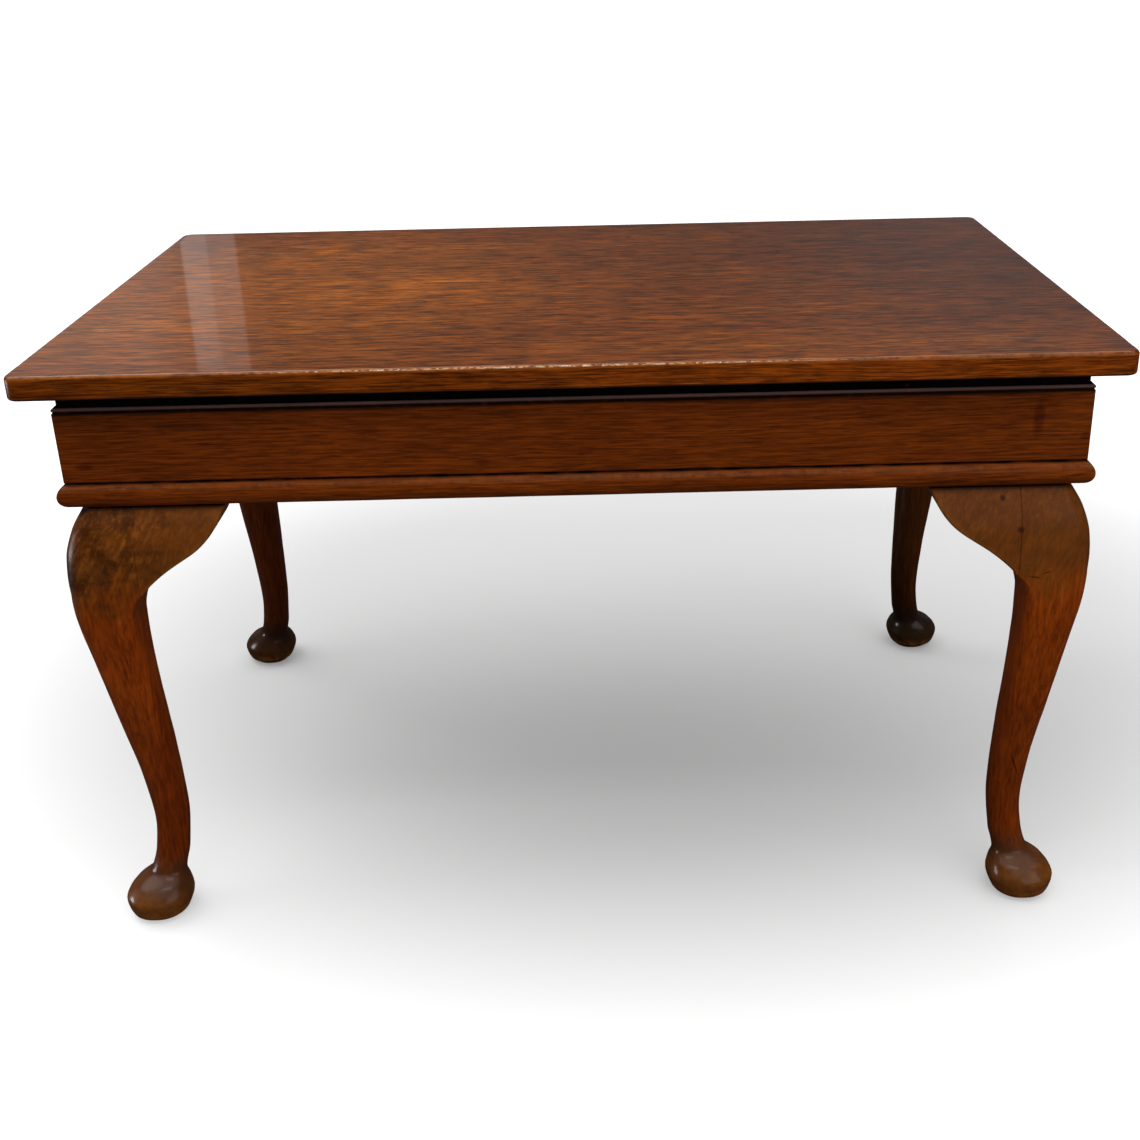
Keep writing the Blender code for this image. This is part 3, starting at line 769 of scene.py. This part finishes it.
def rounded_rectangle(half_x, half_y, corner, z):
    """Closed line of points round a rectangle; its point count doesn't change with its size."""
    corners = []
    for turn, (sx, sy) in enumerate(((1, 1), (-1, 1), (-1, -1), (1, -1))):
        centre = (sx * (half_x - corner), sy * (half_y - corner))
        corners.append(arc(centre, corner, 90 * turn, 90 * turn + 90))
    counts = (round(2 * LID_HIGH.x / LID_STEP), round(2 * LID_HIGH.y / LID_STEP))
    points = []
    for turn, here in enumerate(corners):
        there = corners[(turn + 1) % 4][0]
        count = counts[turn % 2]
        points += here
        for k in range(1, count):
            points.append(tuple(a + (b - a) * k / count for a, b in zip(here[-1], there)))
    return [(x, y, z) for x, y in points]


def hinge_cuts(low, high, y_high, y_low=LEAF_LOW.y - GAP):
    """Mortises for the two hinges between two levels."""
    reach = LEAF_LENGTH / 2 + GAP
    return [block((x - reach, y_low, low), (x + reach, y_high, high)) for x in (-HINGE_X, HINGE_X)]


def make_lid():
    edge = [(LID_BOTTOM_ARRIS + FLAT_BORDER, LID_LOW.z)]
    edge += [(LID_BOTTOM_ARRIS - x, LID_LOW.z + LID_BOTTOM_ARRIS + z)
             for x, z in arc((0, 0), LID_BOTTOM_ARRIS, -90, 0)]
    edge += [(LID_TOP_ARRIS - x, LID_HIGH.z - LID_TOP_ARRIS + z)
             for x, z in arc((0, 0), LID_TOP_ARRIS, 0, 90)]
    edge.append((LID_TOP_ARRIS + FLAT_BORDER, LID_HIGH.z))
    rings = []
    for inset, z in edge:
        corner = LID_CORNER - 0.5 * min(inset, LID_CORNER)
        rings.append(rounded_rectangle(LID_HIGH.x - inset, LID_HIGH.y - inset, corner, z))
    bm = loft(rings)

    def arris(co):
        side = min(LID_HIGH.x - abs(co.x), LID_HIGH.y - abs(co.y))
        return max(0.0, 1.0 - max(side, LID_HIGH.z - co.z) / LID_TOP_ARRIS)

    bm.normal_update()
    for vert, normal in [(vert, vert.normal.copy()) for vert in bm.verts]:
        dent = noise.noise(vert.co * DENTS_PER_METRE)
        dent += SMALL_DENT_SHARE * noise.noise(vert.co * SMALL_DENTS_PER_METRE)
        vert.co -= normal * (LID_DENT * max(0.0, dent) * min(1.0, 2.0 * arris(vert.co)))

    below = LID_LOW.z - BARREL_RADIUS
    barrel_room = BARREL_RADIUS + 2 * GAP
    cuts = hinge_cuts(below, LID_LOW.z + LEAF_THICKNESS + GAP, AXIS_Y + barrel_room)
    cuts += hinge_cuts(below, AXIS_Z + barrel_room, AXIS_Y + barrel_room, HALF_DEPTH - GAP)
    bm = shaped(bm, "DIFFERENCE", cuts)
    paint(bm, "wear_and_sheen", arris)

    # Painted shade on the lid's lower arris all round, where it hangs over the shadow gap
    def grime_and_shade(co):
        side = min(LID_HIGH.x - abs(co.x), LID_HIGH.y - abs(co.y))
        low = (LID_LOW.z + LID_BOTTOM_ARRIS - co.z) / LID_BOTTOM_ARRIS
        return 0.8 * low if side < LID_BOTTOM_ARRIS + GAP else 0.0

    paint(bm, "grime_and_shade", grime_and_shade)
    add_piece("lid_board", bm, WOODS["top"], "lid", ["lid_panel"])


# Box

SIDES = {"front": 0, "right": 1, "back": 2, "left": 3}


def turn_quarter(point, quarters):
    x, y, z = point
    for _ in range(quarters):
        x, y = -y, x
    return (x, y, z)


def rail_mesh(side, profile, ends=("mitre", "mitre")):
    """Profile of (depth behind the box face, height) run along one side; an end is mitred or cut square."""
    along, out = (HALF_LENGTH, HALF_DEPTH) if SIDES[side] % 2 == 0 else (HALF_DEPTH, HALF_LENGTH)
    mitre_gap = GAP / math.sqrt(2)
    steps = round(2 * along / RAIL_STEP)
    rings = []
    for k in range(steps + 1):
        ring = []
        for depth, height in profile:
            start, stop = (along - depth - mitre_gap if end == "mitre" else end for end in ends)
            run = -start + (start + stop) * k / steps
            ring.append(turn_quarter((run, depth - out, height), SIDES[side]))
        rings.append(ring)
    bm = loft(rings)
    carve_by_hand(bm, RAIL_WAVE, 3 * CARVING_SIZE)
    return bm


def ragged(co, size):
    """Uneven strength along a joint."""
    return 0.75 + 0.45 * noise.noise(co / size)


def make_friezes():
    low = FRIEZE_LOW.z
    top = FRIEZE_HIGH.z
    quirk_low = BEAD_TOP - BEAD - QUIRK_HEIGHT
    bead_line = arc((BEAD / 2, BEAD_TOP - BEAD / 2), BEAD / 2, BEAD_START, 90)
    profile = [(0, low), (0, low + JOINT_SOIL), (0, quirk_low - SOIL_REACH), (0, quirk_low)]
    profile += [(QUIRK_DEPTH, quirk_low), *bead_line, (0.6 * RECESS, BEAD_TOP), (RECESS, BEAD_TOP)]
    profile += [(RECESS, top), (RECESS + TONGUE_SHADE_REACH, top), (RAIL_THICKNESS, top), (RAIL_THICKNESS, low)]
    square = SIDE_HIGH.y

    # Grime along the bottom joint, darker in the quirk, and painted shade on the ledge and tongue inside
    # the shadow gap behind the beaded edge
    def grime_and_shade(co):
        joint = 1.0 - (co.z - low) / JOINT_SOIL
        groove = 1.0 - abs(co.z - quirk_low - QUIRK_HEIGHT / 2) / (QUIRK_HEIGHT / 2 + SOIL_REACH)
        depth = min(HALF_LENGTH - abs(co.x), HALF_DEPTH - abs(co.y))
        recess = 0.95 if co.z > BEAD_TOP - GAP and BEAD / 2 + GAP < depth < RECESS + GAP else 0.0
        return max(joint * ragged(co, RAGGED_SIZE), groove, recess)

    for side, ends, wood in (("front", ("mitre", "mitre"), "frieze"),
                             ("right", ("mitre", square), "frieze_side"),
                             ("left", (square, "mitre"), "frieze_side")):
        bm = rail_mesh(side, profile, ends)
        paint(bm, "grime_and_shade", grime_and_shade)
        add_piece(f"frieze_rail_{side}", bm, WOODS[wood], "base", [f"frieze_{side}"])


def make_base_frame():
    top = NOSE_HIGH.z
    low = NOSE_LOW.z
    centre = NOSE_RADIUS - NOSE
    nose = arc((centre, top - NOSE_RADIUS), NOSE_RADIUS, 90, 180)
    nose += arc((centre, low + NOSE_RADIUS), NOSE_RADIUS, 180, 270)
    profile = [(FRAME_INSET, top), *nose, (FRAME_INSET, low)]

    # Grime along the moulding's joint with the frieze
    def grime_and_shade(co):
        outside = max(abs(co.x) - HALF_LENGTH, abs(co.y) - HALF_DEPTH)
        near = 1.0 - max(outside, 0.0) / JOINT_SOIL
        return near * ragged(co, RAGGED_SIZE) if co.z > top - SOIL_REACH else 0.0

    # Painted highlight along the moulding's top arris, in the worn tone
    def wear_and_sheen(co):
        height = 1.0 - abs(top - NOSE_HIGHLIGHT_DROP - co.z) / NOSE_HIGHLIGHT_REACH
        return 0.5 * ragged(co, NOSE_HIGHLIGHT_SIZE) * height

    for side in SIDES:
        bm = rail_mesh(side, profile)
        paint(bm, "grime_and_shade", grime_and_shade)
        paint(bm, "wear_and_sheen", wear_and_sheen)
        wood = "nose" if side in ("front", "back") else "nose_side"
        add_piece(f"moulding_{side}", bm, WOODS[wood], "base", [f"base_frame_{side}"])


def make_boards():
    """Back rail, linings and bottom."""
    bm = block(BACK_LOW, BACK_HIGH, BOARD_EASE)
    cuts = hinge_cuts(BACK_HIGH.z - LEAF_THICKNESS - GAP, BACK_HIGH.z + GAP, HALF_DEPTH + GAP)
    bm = shaped(bm, "DIFFERENCE", cuts)
    add_piece("back_rail_board", bm, WOODS["nose"], "base", ["back_rail"], BOARD_ANGLE)
    for name, wood in (("lining_front", "lining"), ("lining_back", "lining"),
                       ("lining_left", "lining_side"), ("lining_right", "lining_side"),
                       ("bottom_panel", "lining")):
        bm = block(*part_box(name), BOARD_EASE)
        add_piece(f"{name}_board", bm, WOODS[wood], "base", [name], BOARD_ANGLE)


# Legs and ears

CORNERS = [(end, hand, sx, sy) for end, sy in (("front", -1), ("back", 1))
           for hand, sx in (("left", -1), ("right", 1))]


def leg_section(height):
    """Rounded square section of the leg at a height, about the foot's middle, with the shin at +X +Y."""
    level = height / MM
    below_post = min(level, POST_FOOT / MM)
    front = smooth_line(LEG_FRONT_LINE, level) * MM
    back = smooth_line(LEG_BACK_LINE, below_post) * MM
    half = (front + back) / 2
    middle = (front - back) / 2
    shin = smooth_line(SHIN_ROUNDING, level)
    side = smooth_line(SIDE_ROUNDING, below_post)
    rear = smooth_line(BACK_ROUNDING, below_post)
    ring = []
    for turn, (sx, sy, share) in enumerate(((1, 1, shin), (-1, 1, side), (-1, -1, rear), (1, -1, side))):
        centre = (middle + sx * half * (1 - share), middle + sy * half * (1 - share))
        ring += arc(centre, half * share, 90 * turn, 90 * turn + 90, CORNER_STEPS)
    return ring


def post_grime_and_shade(co):
    """Grime and painted shade where a leg or an ear meets the moulding, under its overhang."""
    return 0.7 * (1.0 - (LEG_TOP - co.z) / POST_GRIME_AND_SHADE)


def make_leg(name, sx, sy):
    heights = [0.0]
    for level, steps in LEG_STAGES:
        low = heights[-1]
        heights += [low + (level - low) * k / steps for k in range(1, steps + 1)]
    bm = loft([[(sx * (FOOT_X + x), sy * (FOOT_Y + y), z) for x, y in leg_section(z)] for z in heights])
    carve_by_hand(bm)
    paint(bm, "wear_and_sheen", lambda co: 0.8 - abs(co.z - FOOT_RIM) / FOOT_WEAR_REACH)
    paint(bm, "grime_and_shade", post_grime_and_shade)
    add_piece(f"cabriole_{name}", bm, WOODS["leg"], "base", [f"leg_{name}"])


def make_ear(name, sx, sy, along_x):
    """Knee bracket beside the post; its lower edge is an ogee, and its face follows the knee."""
    glue = -POST_BACK - EAR_SEAM
    tip = (glue - EAR_REACH, LEG_TOP)
    foot = (glue, POST_FOOT)
    tip_handle = (tip[0] + EAR_TIP_HANDLE * math.cos(EAR_TIP_SLOPE),
                  tip[1] - EAR_TIP_HANDLE * math.sin(EAR_TIP_SLOPE))
    foot_handle = (foot[0] - EAR_FOOT_HANDLE * math.cos(EAR_FOOT_SLOPE),
                   foot[1] + EAR_FOOT_HANDLE * math.sin(EAR_FOOT_SLOPE))
    rings = []
    edges = []
    for k in range(EAR_STEPS + 1):
        edge, height = bezier(tip, tip_handle, foot_handle, foot, EAR_OGEE_SHARE * k / EAR_STEPS)
        face = smooth_line(LEG_FRONT_LINE, height / MM) * MM
        arris = min(EAR_ARRIS, EAR_ARRIS_SHARE * (glue - edge))
        rounding = arc((edge + arris, face - arris), arris, 90, 180)
        front = [(glue + (edge + arris - glue) * i / EAR_FACE_STEPS, face) for i in range(EAR_FACE_STEPS)]
        ring = []
        for run, out in [*front, *rounding, (edge, -EAR_BACK), (glue, -EAR_BACK)]:
            x, y = (run, out) if along_x else (out, run)
            ring.append((sx * (FOOT_X + x), sy * (FOOT_Y + y), height))
        rings.append(ring)
        edges.append((height, edge, face))
    bm = loft(rings)

    def wear_and_sheen(co):
        run, out = abs(co.x) - FOOT_X, abs(co.y) - FOOT_Y
        if not along_x:
            run, out = out, run
        _, edge, face = min(edges, key=lambda row: abs(row[0] - co.z))
        return 0.9 - max(run - edge, face - out) / (1.6 * EAR_ARRIS)

    paint(bm, "wear_and_sheen", wear_and_sheen)
    paint(bm, "grime_and_shade", post_grime_and_shade)
    carve_by_hand(bm)
    add_piece(f"knee_{name}", bm, WOODS["leg"], "base", [name])


def make_legs():
    for end, hand, sx, sy in CORNERS:
        make_leg(f"{end}_{hand}", sx, sy)
        make_ear(f"ear_{end}_{hand}_{end}", sx, sy, along_x=True)
        make_ear(f"ear_{end}_{hand}_side", sx, sy, along_x=False)


# Hinges and screws

def leaf_screw_places(z):
    y = (LEAF_LOW.y + HALF_DEPTH) / 2
    offsets = (-HINGE_SCREW_PITCH, 0.0, HINGE_SCREW_PITCH)
    return [(x + offset, y, z) for x in (-HINGE_X, HINGE_X) for offset in offsets]


def make_leaf(name, x, levels, knuckles, head_z, body, node):
    """Hinge leaf with its knuckles, countersunk holes and pin hole."""
    low, high = levels
    start = x - LEAF_LENGTH / 2
    pitch = LEAF_LENGTH / KNUCKLES
    bm = block((start, LEAF_LOW.y, low), (start + LEAF_LENGTH, HALF_DEPTH, high), LEAF_EASE)
    barrels = []
    for k in knuckles:
        x_low = start + pitch * k + GAP / 2
        x_high = x_low + pitch - GAP
        barrels.append(block((x_low, HALF_DEPTH - LEAF_THICKNESS, low), (x_high, AXIS_Y, high)))
        barrels.append(rod(x_low, x_high, BARREL_RADIUS, LEAF_EASE))
    bm = shaped(bm, "UNION", barrels)
    head, shank, _ = BOX_LEAF_SCREW
    inward = -1 if head_z == high else 1
    holes = [rod(start - pitch, start + LEAF_LENGTH + pitch, PIN_RADIUS + GAP)]
    for px, py, _ in leaf_screw_places(head_z):
        if abs(px - x) < LEAF_LENGTH / 2:
            cone = ((-GAP, head + 2 * GAP), (head - shank, shank + GAP), (2 * LEAF_THICKNESS, shank + GAP))
            holes.append(loft([[(px + a, py + b, head_z + inward * depth) for a, b in circle(radius)]
                               for depth, radius in cone]))
    add_piece(name, shaped(bm, "DIFFERENCE", holes), BRASS, body, [node])


def make_screw_tree():
    """Countersunk slotted screws, head up at each given point, turned at random."""
    tree = bpy.data.node_groups.new("slotted_screws", "GeometryNodeTree")
    inputs = (("Points", "Geometry"), ("Head Radius", "Float"), ("Shank Radius", "Float"),
              ("Length", "Float"), ("Slot Width", "Float"), ("Flip", "Float"), ("Metal", "Material"))
    sockets = {}
    for label, kind in inputs:
        made = tree.interface.new_socket(label, in_out="INPUT", socket_type="NodeSocket" + kind)
        sockets[label] = made.identifier
    tree.interface.new_socket("Screws", in_out="OUTPUT", socket_type="NodeSocketGeometry")
    given = tree.nodes.new("NodeGroupInput").outputs

    def add(kind, inputs, **settings):
        return new_node(tree, kind, inputs, settings).outputs

    def cone(top, bottom, depth, drop):
        sizes = {"Vertices": SCREW_SIDES, "Radius Top": top, "Radius Bottom": bottom, "Depth": depth}
        made = add("GeometryNodeMeshCone", sizes)["Mesh"]
        down = add("ShaderNodeCombineXYZ", {2: drop})[0]
        return add("GeometryNodeTransform", {"Geometry": made, "Translation": down})[0]

    head, shank, length = given["Head Radius"], given["Shank Radius"], given["Length"]
    slope = reckon("SUBTRACT", head, shank)
    point = product(shank, SCREW_POINT)
    shank_end = reckon("SUBTRACT", point, length)
    shank_start = product(slope, -0.5)
    lap_radius = product(shank, SCREW_LAP)
    parts = [cone(head, shank, slope, product(slope, -1.0)),
             cone(lap_radius, lap_radius, reckon("SUBTRACT", shank_start, shank_end), shank_end),
             cone(shank, product(shank, SCREW_TIP), point, product(length, -1.0))]
    union = tree.nodes.new("GeometryNodeMeshBoolean")
    union.operation = "UNION"
    for part in parts:
        tree.links.new(part, union.inputs["Mesh 2"])
    slot = {0: product(head, SLOT_LENGTH), 1: given["Slot Width"], 2: slope}
    slot_size = add("ShaderNodeCombineXYZ", slot)[0]
    slot_bar = add("GeometryNodeMeshCube", {"Size": slot_size})["Mesh"]
    slotted = tree.nodes.new("GeometryNodeMeshBoolean")
    slotted.operation = "DIFFERENCE"
    tree.links.new(union.outputs["Mesh"], slotted.inputs["Mesh 1"])
    tree.links.new(slot_bar, slotted.inputs["Mesh 2"])
    limits = {"Min": 0.0, "Max": math.pi, "Seed": SCREW_SEED}
    angle = next(out for out in add("FunctionNodeRandomValue", limits, data_type="FLOAT") if out.enabled)
    turn = add("ShaderNodeCombineXYZ", {0: given["Flip"], 2: angle})[0]
    screw = slotted.outputs["Mesh"]
    inputs = {"Points": given["Points"], "Instance": screw, "Rotation": turn}
    placed = add("GeometryNodeInstanceOnPoints", inputs)[0]
    real = add("GeometryNodeRealizeInstances", {"Geometry": placed})[0]
    dressed = add("GeometryNodeSetMaterial", {"Geometry": real, "Material": given["Metal"]})[0]
    tree.links.new(dressed, tree.nodes.new("NodeGroupOutput").inputs["Screws"])
    return tree, sockets


SCREW_TREE, SCREW_SOCKETS = make_screw_tree()


def make_screws(name, places, sizes, flip, metal, body, nodes):
    """One piece of screws at the places; sizes are the head's radius, the shank's radius and the length."""
    points = bpy.data.meshes.new(name)
    points.from_pydata(places, [], [])
    holder = new_object(name, points)
    modifier = holder.modifiers.new("screws", "NODES")
    modifier.node_group = SCREW_TREE
    head, shank, length = sizes
    values = {"Head Radius": head, "Shank Radius": shank, "Length": length, "Slot Width": SLOT_WIDTH * head,
              "Flip": math.pi if flip else 0.0, "Metal": metal}
    for label, value in values.items():
        modifier[SCREW_SOCKETS[label]] = value
    place_piece(name, finished_mesh(holder), metal, body, nodes)


def make_hinges():
    box_levels = (BACK_HIGH.z - LEAF_THICKNESS, BACK_HIGH.z)
    lid_levels = (LID_LOW.z, LID_LOW.z + LEAF_THICKNESS)
    for hand, x in (("left", -HINGE_X), ("right", HINGE_X)):
        make_leaf(f"box_leaf_{hand}", x, box_levels, range(0, KNUCKLES, 2), BACK_HIGH.z, "base",
                  f"hinge_{hand}_box_leaf")
        make_leaf(f"lid_leaf_{hand}", x, lid_levels, range(1, KNUCKLES, 2), LID_LOW.z, "lid",
                  f"hinge_{hand}_lid_leaf")
        pin = rod(x - LEAF_LENGTH / 2, x + LEAF_LENGTH / 2, PIN_RADIUS, LEAF_EASE)
        add_piece(f"hinge_rod_{hand}", pin, BRASS, "base", [f"hinge_{hand}_pin"])
    for leaf, z, sizes, body in (("box_leaf", BACK_HIGH.z, BOX_LEAF_SCREW, "base"),
                                 ("lid_leaf", LID_LOW.z, LID_LEAF_SCREW, "lid")):
        nodes = [f"hinge_{hand}_{leaf}_screw_{number}"
                 for hand in ("left", "right") for number in (1, 2, 3)]
        flip = leaf == "lid_leaf"
        make_screws(f"{leaf}_screws", leaf_screw_places(z), sizes, flip, BRASS, body, nodes)


def make_leg_screws():
    places = []
    nodes = []
    for end, hand, sx, sy in CORNERS:
        for number, (in_x, in_y) in enumerate(LEG_SCREW_PLACES, 1):
            x = sx * (FOOT_X - POST_BACK + in_x)
            y = sy * (FOOT_Y - POST_BACK + in_y)
            places.append((x, y, NOSE_HIGH.z))
            nodes.append(f"leg_screw_{end}_{hand}_{number}")
    make_screws("leg_screws", places, LEG_SCREW, False, STEEL, "base", nodes)


# Camera, light and floor

LENS = 44.73
SENSOR = 36.0
CAMERA_PLACE = (0.02335, -1.25182, 0.79724)
CAMERA_PITCH = math.radians(23.07)
CAMERA_YAW = math.radians(0.43)
CAMERA_ROLL = math.radians(-1.21)
CAMERA_SHIFT = (-0.04243, -0.04557)

# Glow of the room by direction: where a part starts, where it is full, and its strength at each
CEILING = (0.52, 0.80, 0.0, 1.5)
LEFT_WALL = (-0.26, -0.31, 0.0, 0.16)
RIGHT_WALL = (0.05, 0.25, 0.0, 0.05)
BACK_WALL = (0.5, 0.8)
WALL_GLOW = 0.05
ROOM_GLOW = 0.02

# Floor: its tone for the eye, in polish and for the light it throws, and its glow by distance, weaker near
# the table so as to paint a soft shadow round it
FLOOR_SIZE = 20.0
FLOOR_TONE = (0.5, 0.5, 0.5, 1)
MIRRORED_TONE = (0.035, 0.032, 0.030, 1)
BOUNCE_TONE = (0.25, 0.24, 0.23, 1)
GLOW_STRETCH = (0.8, 1.0, 1.0)
GLOW_MIDDLE = (0.08, 0.3, 0.0)
FLOOR_GLOW_AND_PAINTED_SHADOW = (0.38, 0.95, 0.21, 0.76)

# Mirrored window behind the table: where it is, and the middle, width and brightness of each pane
WINDOW_Y = 2.5
WINDOW_Z = 1.25
PANE_HEIGHT = 0.9
PANES = ((-0.985, 0.075, 0.19), (-1.058, 0.070, 0.30))


def make_camera():
    data = bpy.data.cameras.new("camera")
    data.lens = LENS
    data.sensor_width = SENSOR
    data.shift_x, data.shift_y = CAMERA_SHIFT
    camera = new_object("camera", data)
    tilt = Matrix.Rotation(math.pi / 2 - CAMERA_PITCH, 4, "X") @ Matrix.Rotation(CAMERA_ROLL, 4, "Z")
    camera.matrix_world = Matrix.Translation(CAMERA_PLACE) @ Matrix.Rotation(-CAMERA_YAW, 4, "Z") @ tilt
    bpy.context.scene.camera = camera


def make_softbox(name, place, target, size, radiance, colour=(1, 1, 1), glint=False):
    """Rectangular lamp of an even brightness, aimed at a target; a glint is seen in polish alone."""
    data = bpy.data.lights.new(name, "AREA")
    data.shape = "RECTANGLE"
    data.size, data.size_y = size
    data.energy = radiance * math.pi * size[0] * size[1]
    data.color = colour
    lamp = new_object(name, data)
    lamp.location = place
    lamp.rotation_euler = (Vector(target) - Vector(place)).to_track_quat("-Z", "Y").to_euler()
    lamp.visible_diffuse = not glint


def make_world():
    """Bright ceiling over dim walls, lighter behind the table to the left; the eye sees plain white."""
    world = bpy.data.worlds.new("studio")
    world.use_nodes = True
    tree = world.node_tree
    axes = axes_of(put(tree, "TexCoord").outputs["Generated"])
    wall = reckon("ADD", ramp(axes["X"], *LEFT_WALL), ramp(axes["X"], *RIGHT_WALL))
    wall = product(reckon("ADD", wall, WALL_GLOW), ramp(axes["Y"], *BACK_WALL))
    strength = reckon("ADD", ramp(axes["Z"], *CEILING), wall)
    strength = reckon("ADD", strength, ROOM_GLOW)
    strength = reckon("MAXIMUM", strength, put(tree, "LightPath").outputs["Is Camera Ray"])
    background = tree.nodes["Background"]
    tree.links.new(strength, background.inputs["Strength"])
    background.inputs["Color"].default_value = (1.0, 1.0, 1.0, 1.0)
    bpy.context.scene.world = world


def make_floor():
    """Pale floor that glows for the eye, less near the table, which paints a soft shadow round it; it
    throws some light up, and polish mirrors it dim.
    """
    bm = bmesh.new()
    bmesh.ops.create_grid(bm, x_segments=1, y_segments=1, size=FLOOR_SIZE)
    mesh = mesh_of("floor", bm)
    material, tree, shader = new_material("pale_floor")
    tree.nodes.remove(shader)
    pale, dim, bounce = (put(tree, "BsdfDiffuse", {"Color": tone}).outputs[0]
                         for tone in (FLOOR_TONE, MIRRORED_TONE, BOUNCE_TONE))
    place = reckon_vector("MULTIPLY", put(tree, "TexCoord").outputs["Object"], GLOW_STRETCH)
    off = follow("VectorMath", {0: place, 1: GLOW_MIDDLE}, operation="DISTANCE").outputs["Value"]
    glow = put(tree, "Emission", {"Strength": ramp(off, *FLOOR_GLOW_AND_PAINTED_SHADOW)}).outputs[0]
    pale = put(tree, "AddShader", {0: pale, 1: glow}).outputs[0]
    ray = put(tree, "LightPath").outputs
    thrown = put(tree, "MixShader", {0: ray["Is Diffuse Ray"], 1: dim, 2: bounce}).outputs[0]
    whole = put(tree, "MixShader", {0: ray["Is Camera Ray"], 1: thrown, 2: pale}).outputs[0]
    tree.links.new(whole, tree.nodes["Material Output"].inputs["Surface"])
    mesh.materials.append(material)
    floor = new_object("floor", mesh)


def make_lights():
    make_softbox("front_softbox", (2.1, -2.5, 1.6), (0, 0, 0.35), (3.0, 1.5), 2.1)
    make_softbox("top_softbox", (0.0, -1.1, 2.2), (0, -0.2, 0.4), (1.4, 0.3), 5.0)
    make_softbox("key_softbox", (-1.7, 0.4, 2.4), (0, 0, 0.3), (2.2, 2.2), 2.1)
    make_softbox("left_window", (-2.4, -0.1, 0.24), (0, -0.1, 0.2), (0.6, 0.46), 24.0, (0.85, 0.92, 1.0),
                 glint=True)
    for pane, (middle, width, radiance) in enumerate(PANES, 1):
        make_softbox(f"back_window_{pane}", (middle, WINDOW_Y, WINDOW_Z), (middle, 0, WINDOW_Z),
                     (width, PANE_HEIGHT), radiance, glint=True)


make_lid()
make_friezes()
make_base_frame()
make_boards()
make_legs()
make_hinges()
make_leg_screws()
make_camera()
make_world()
make_floor()
make_lights()
bpy.context.scene.view_settings.view_transform = "Standard"
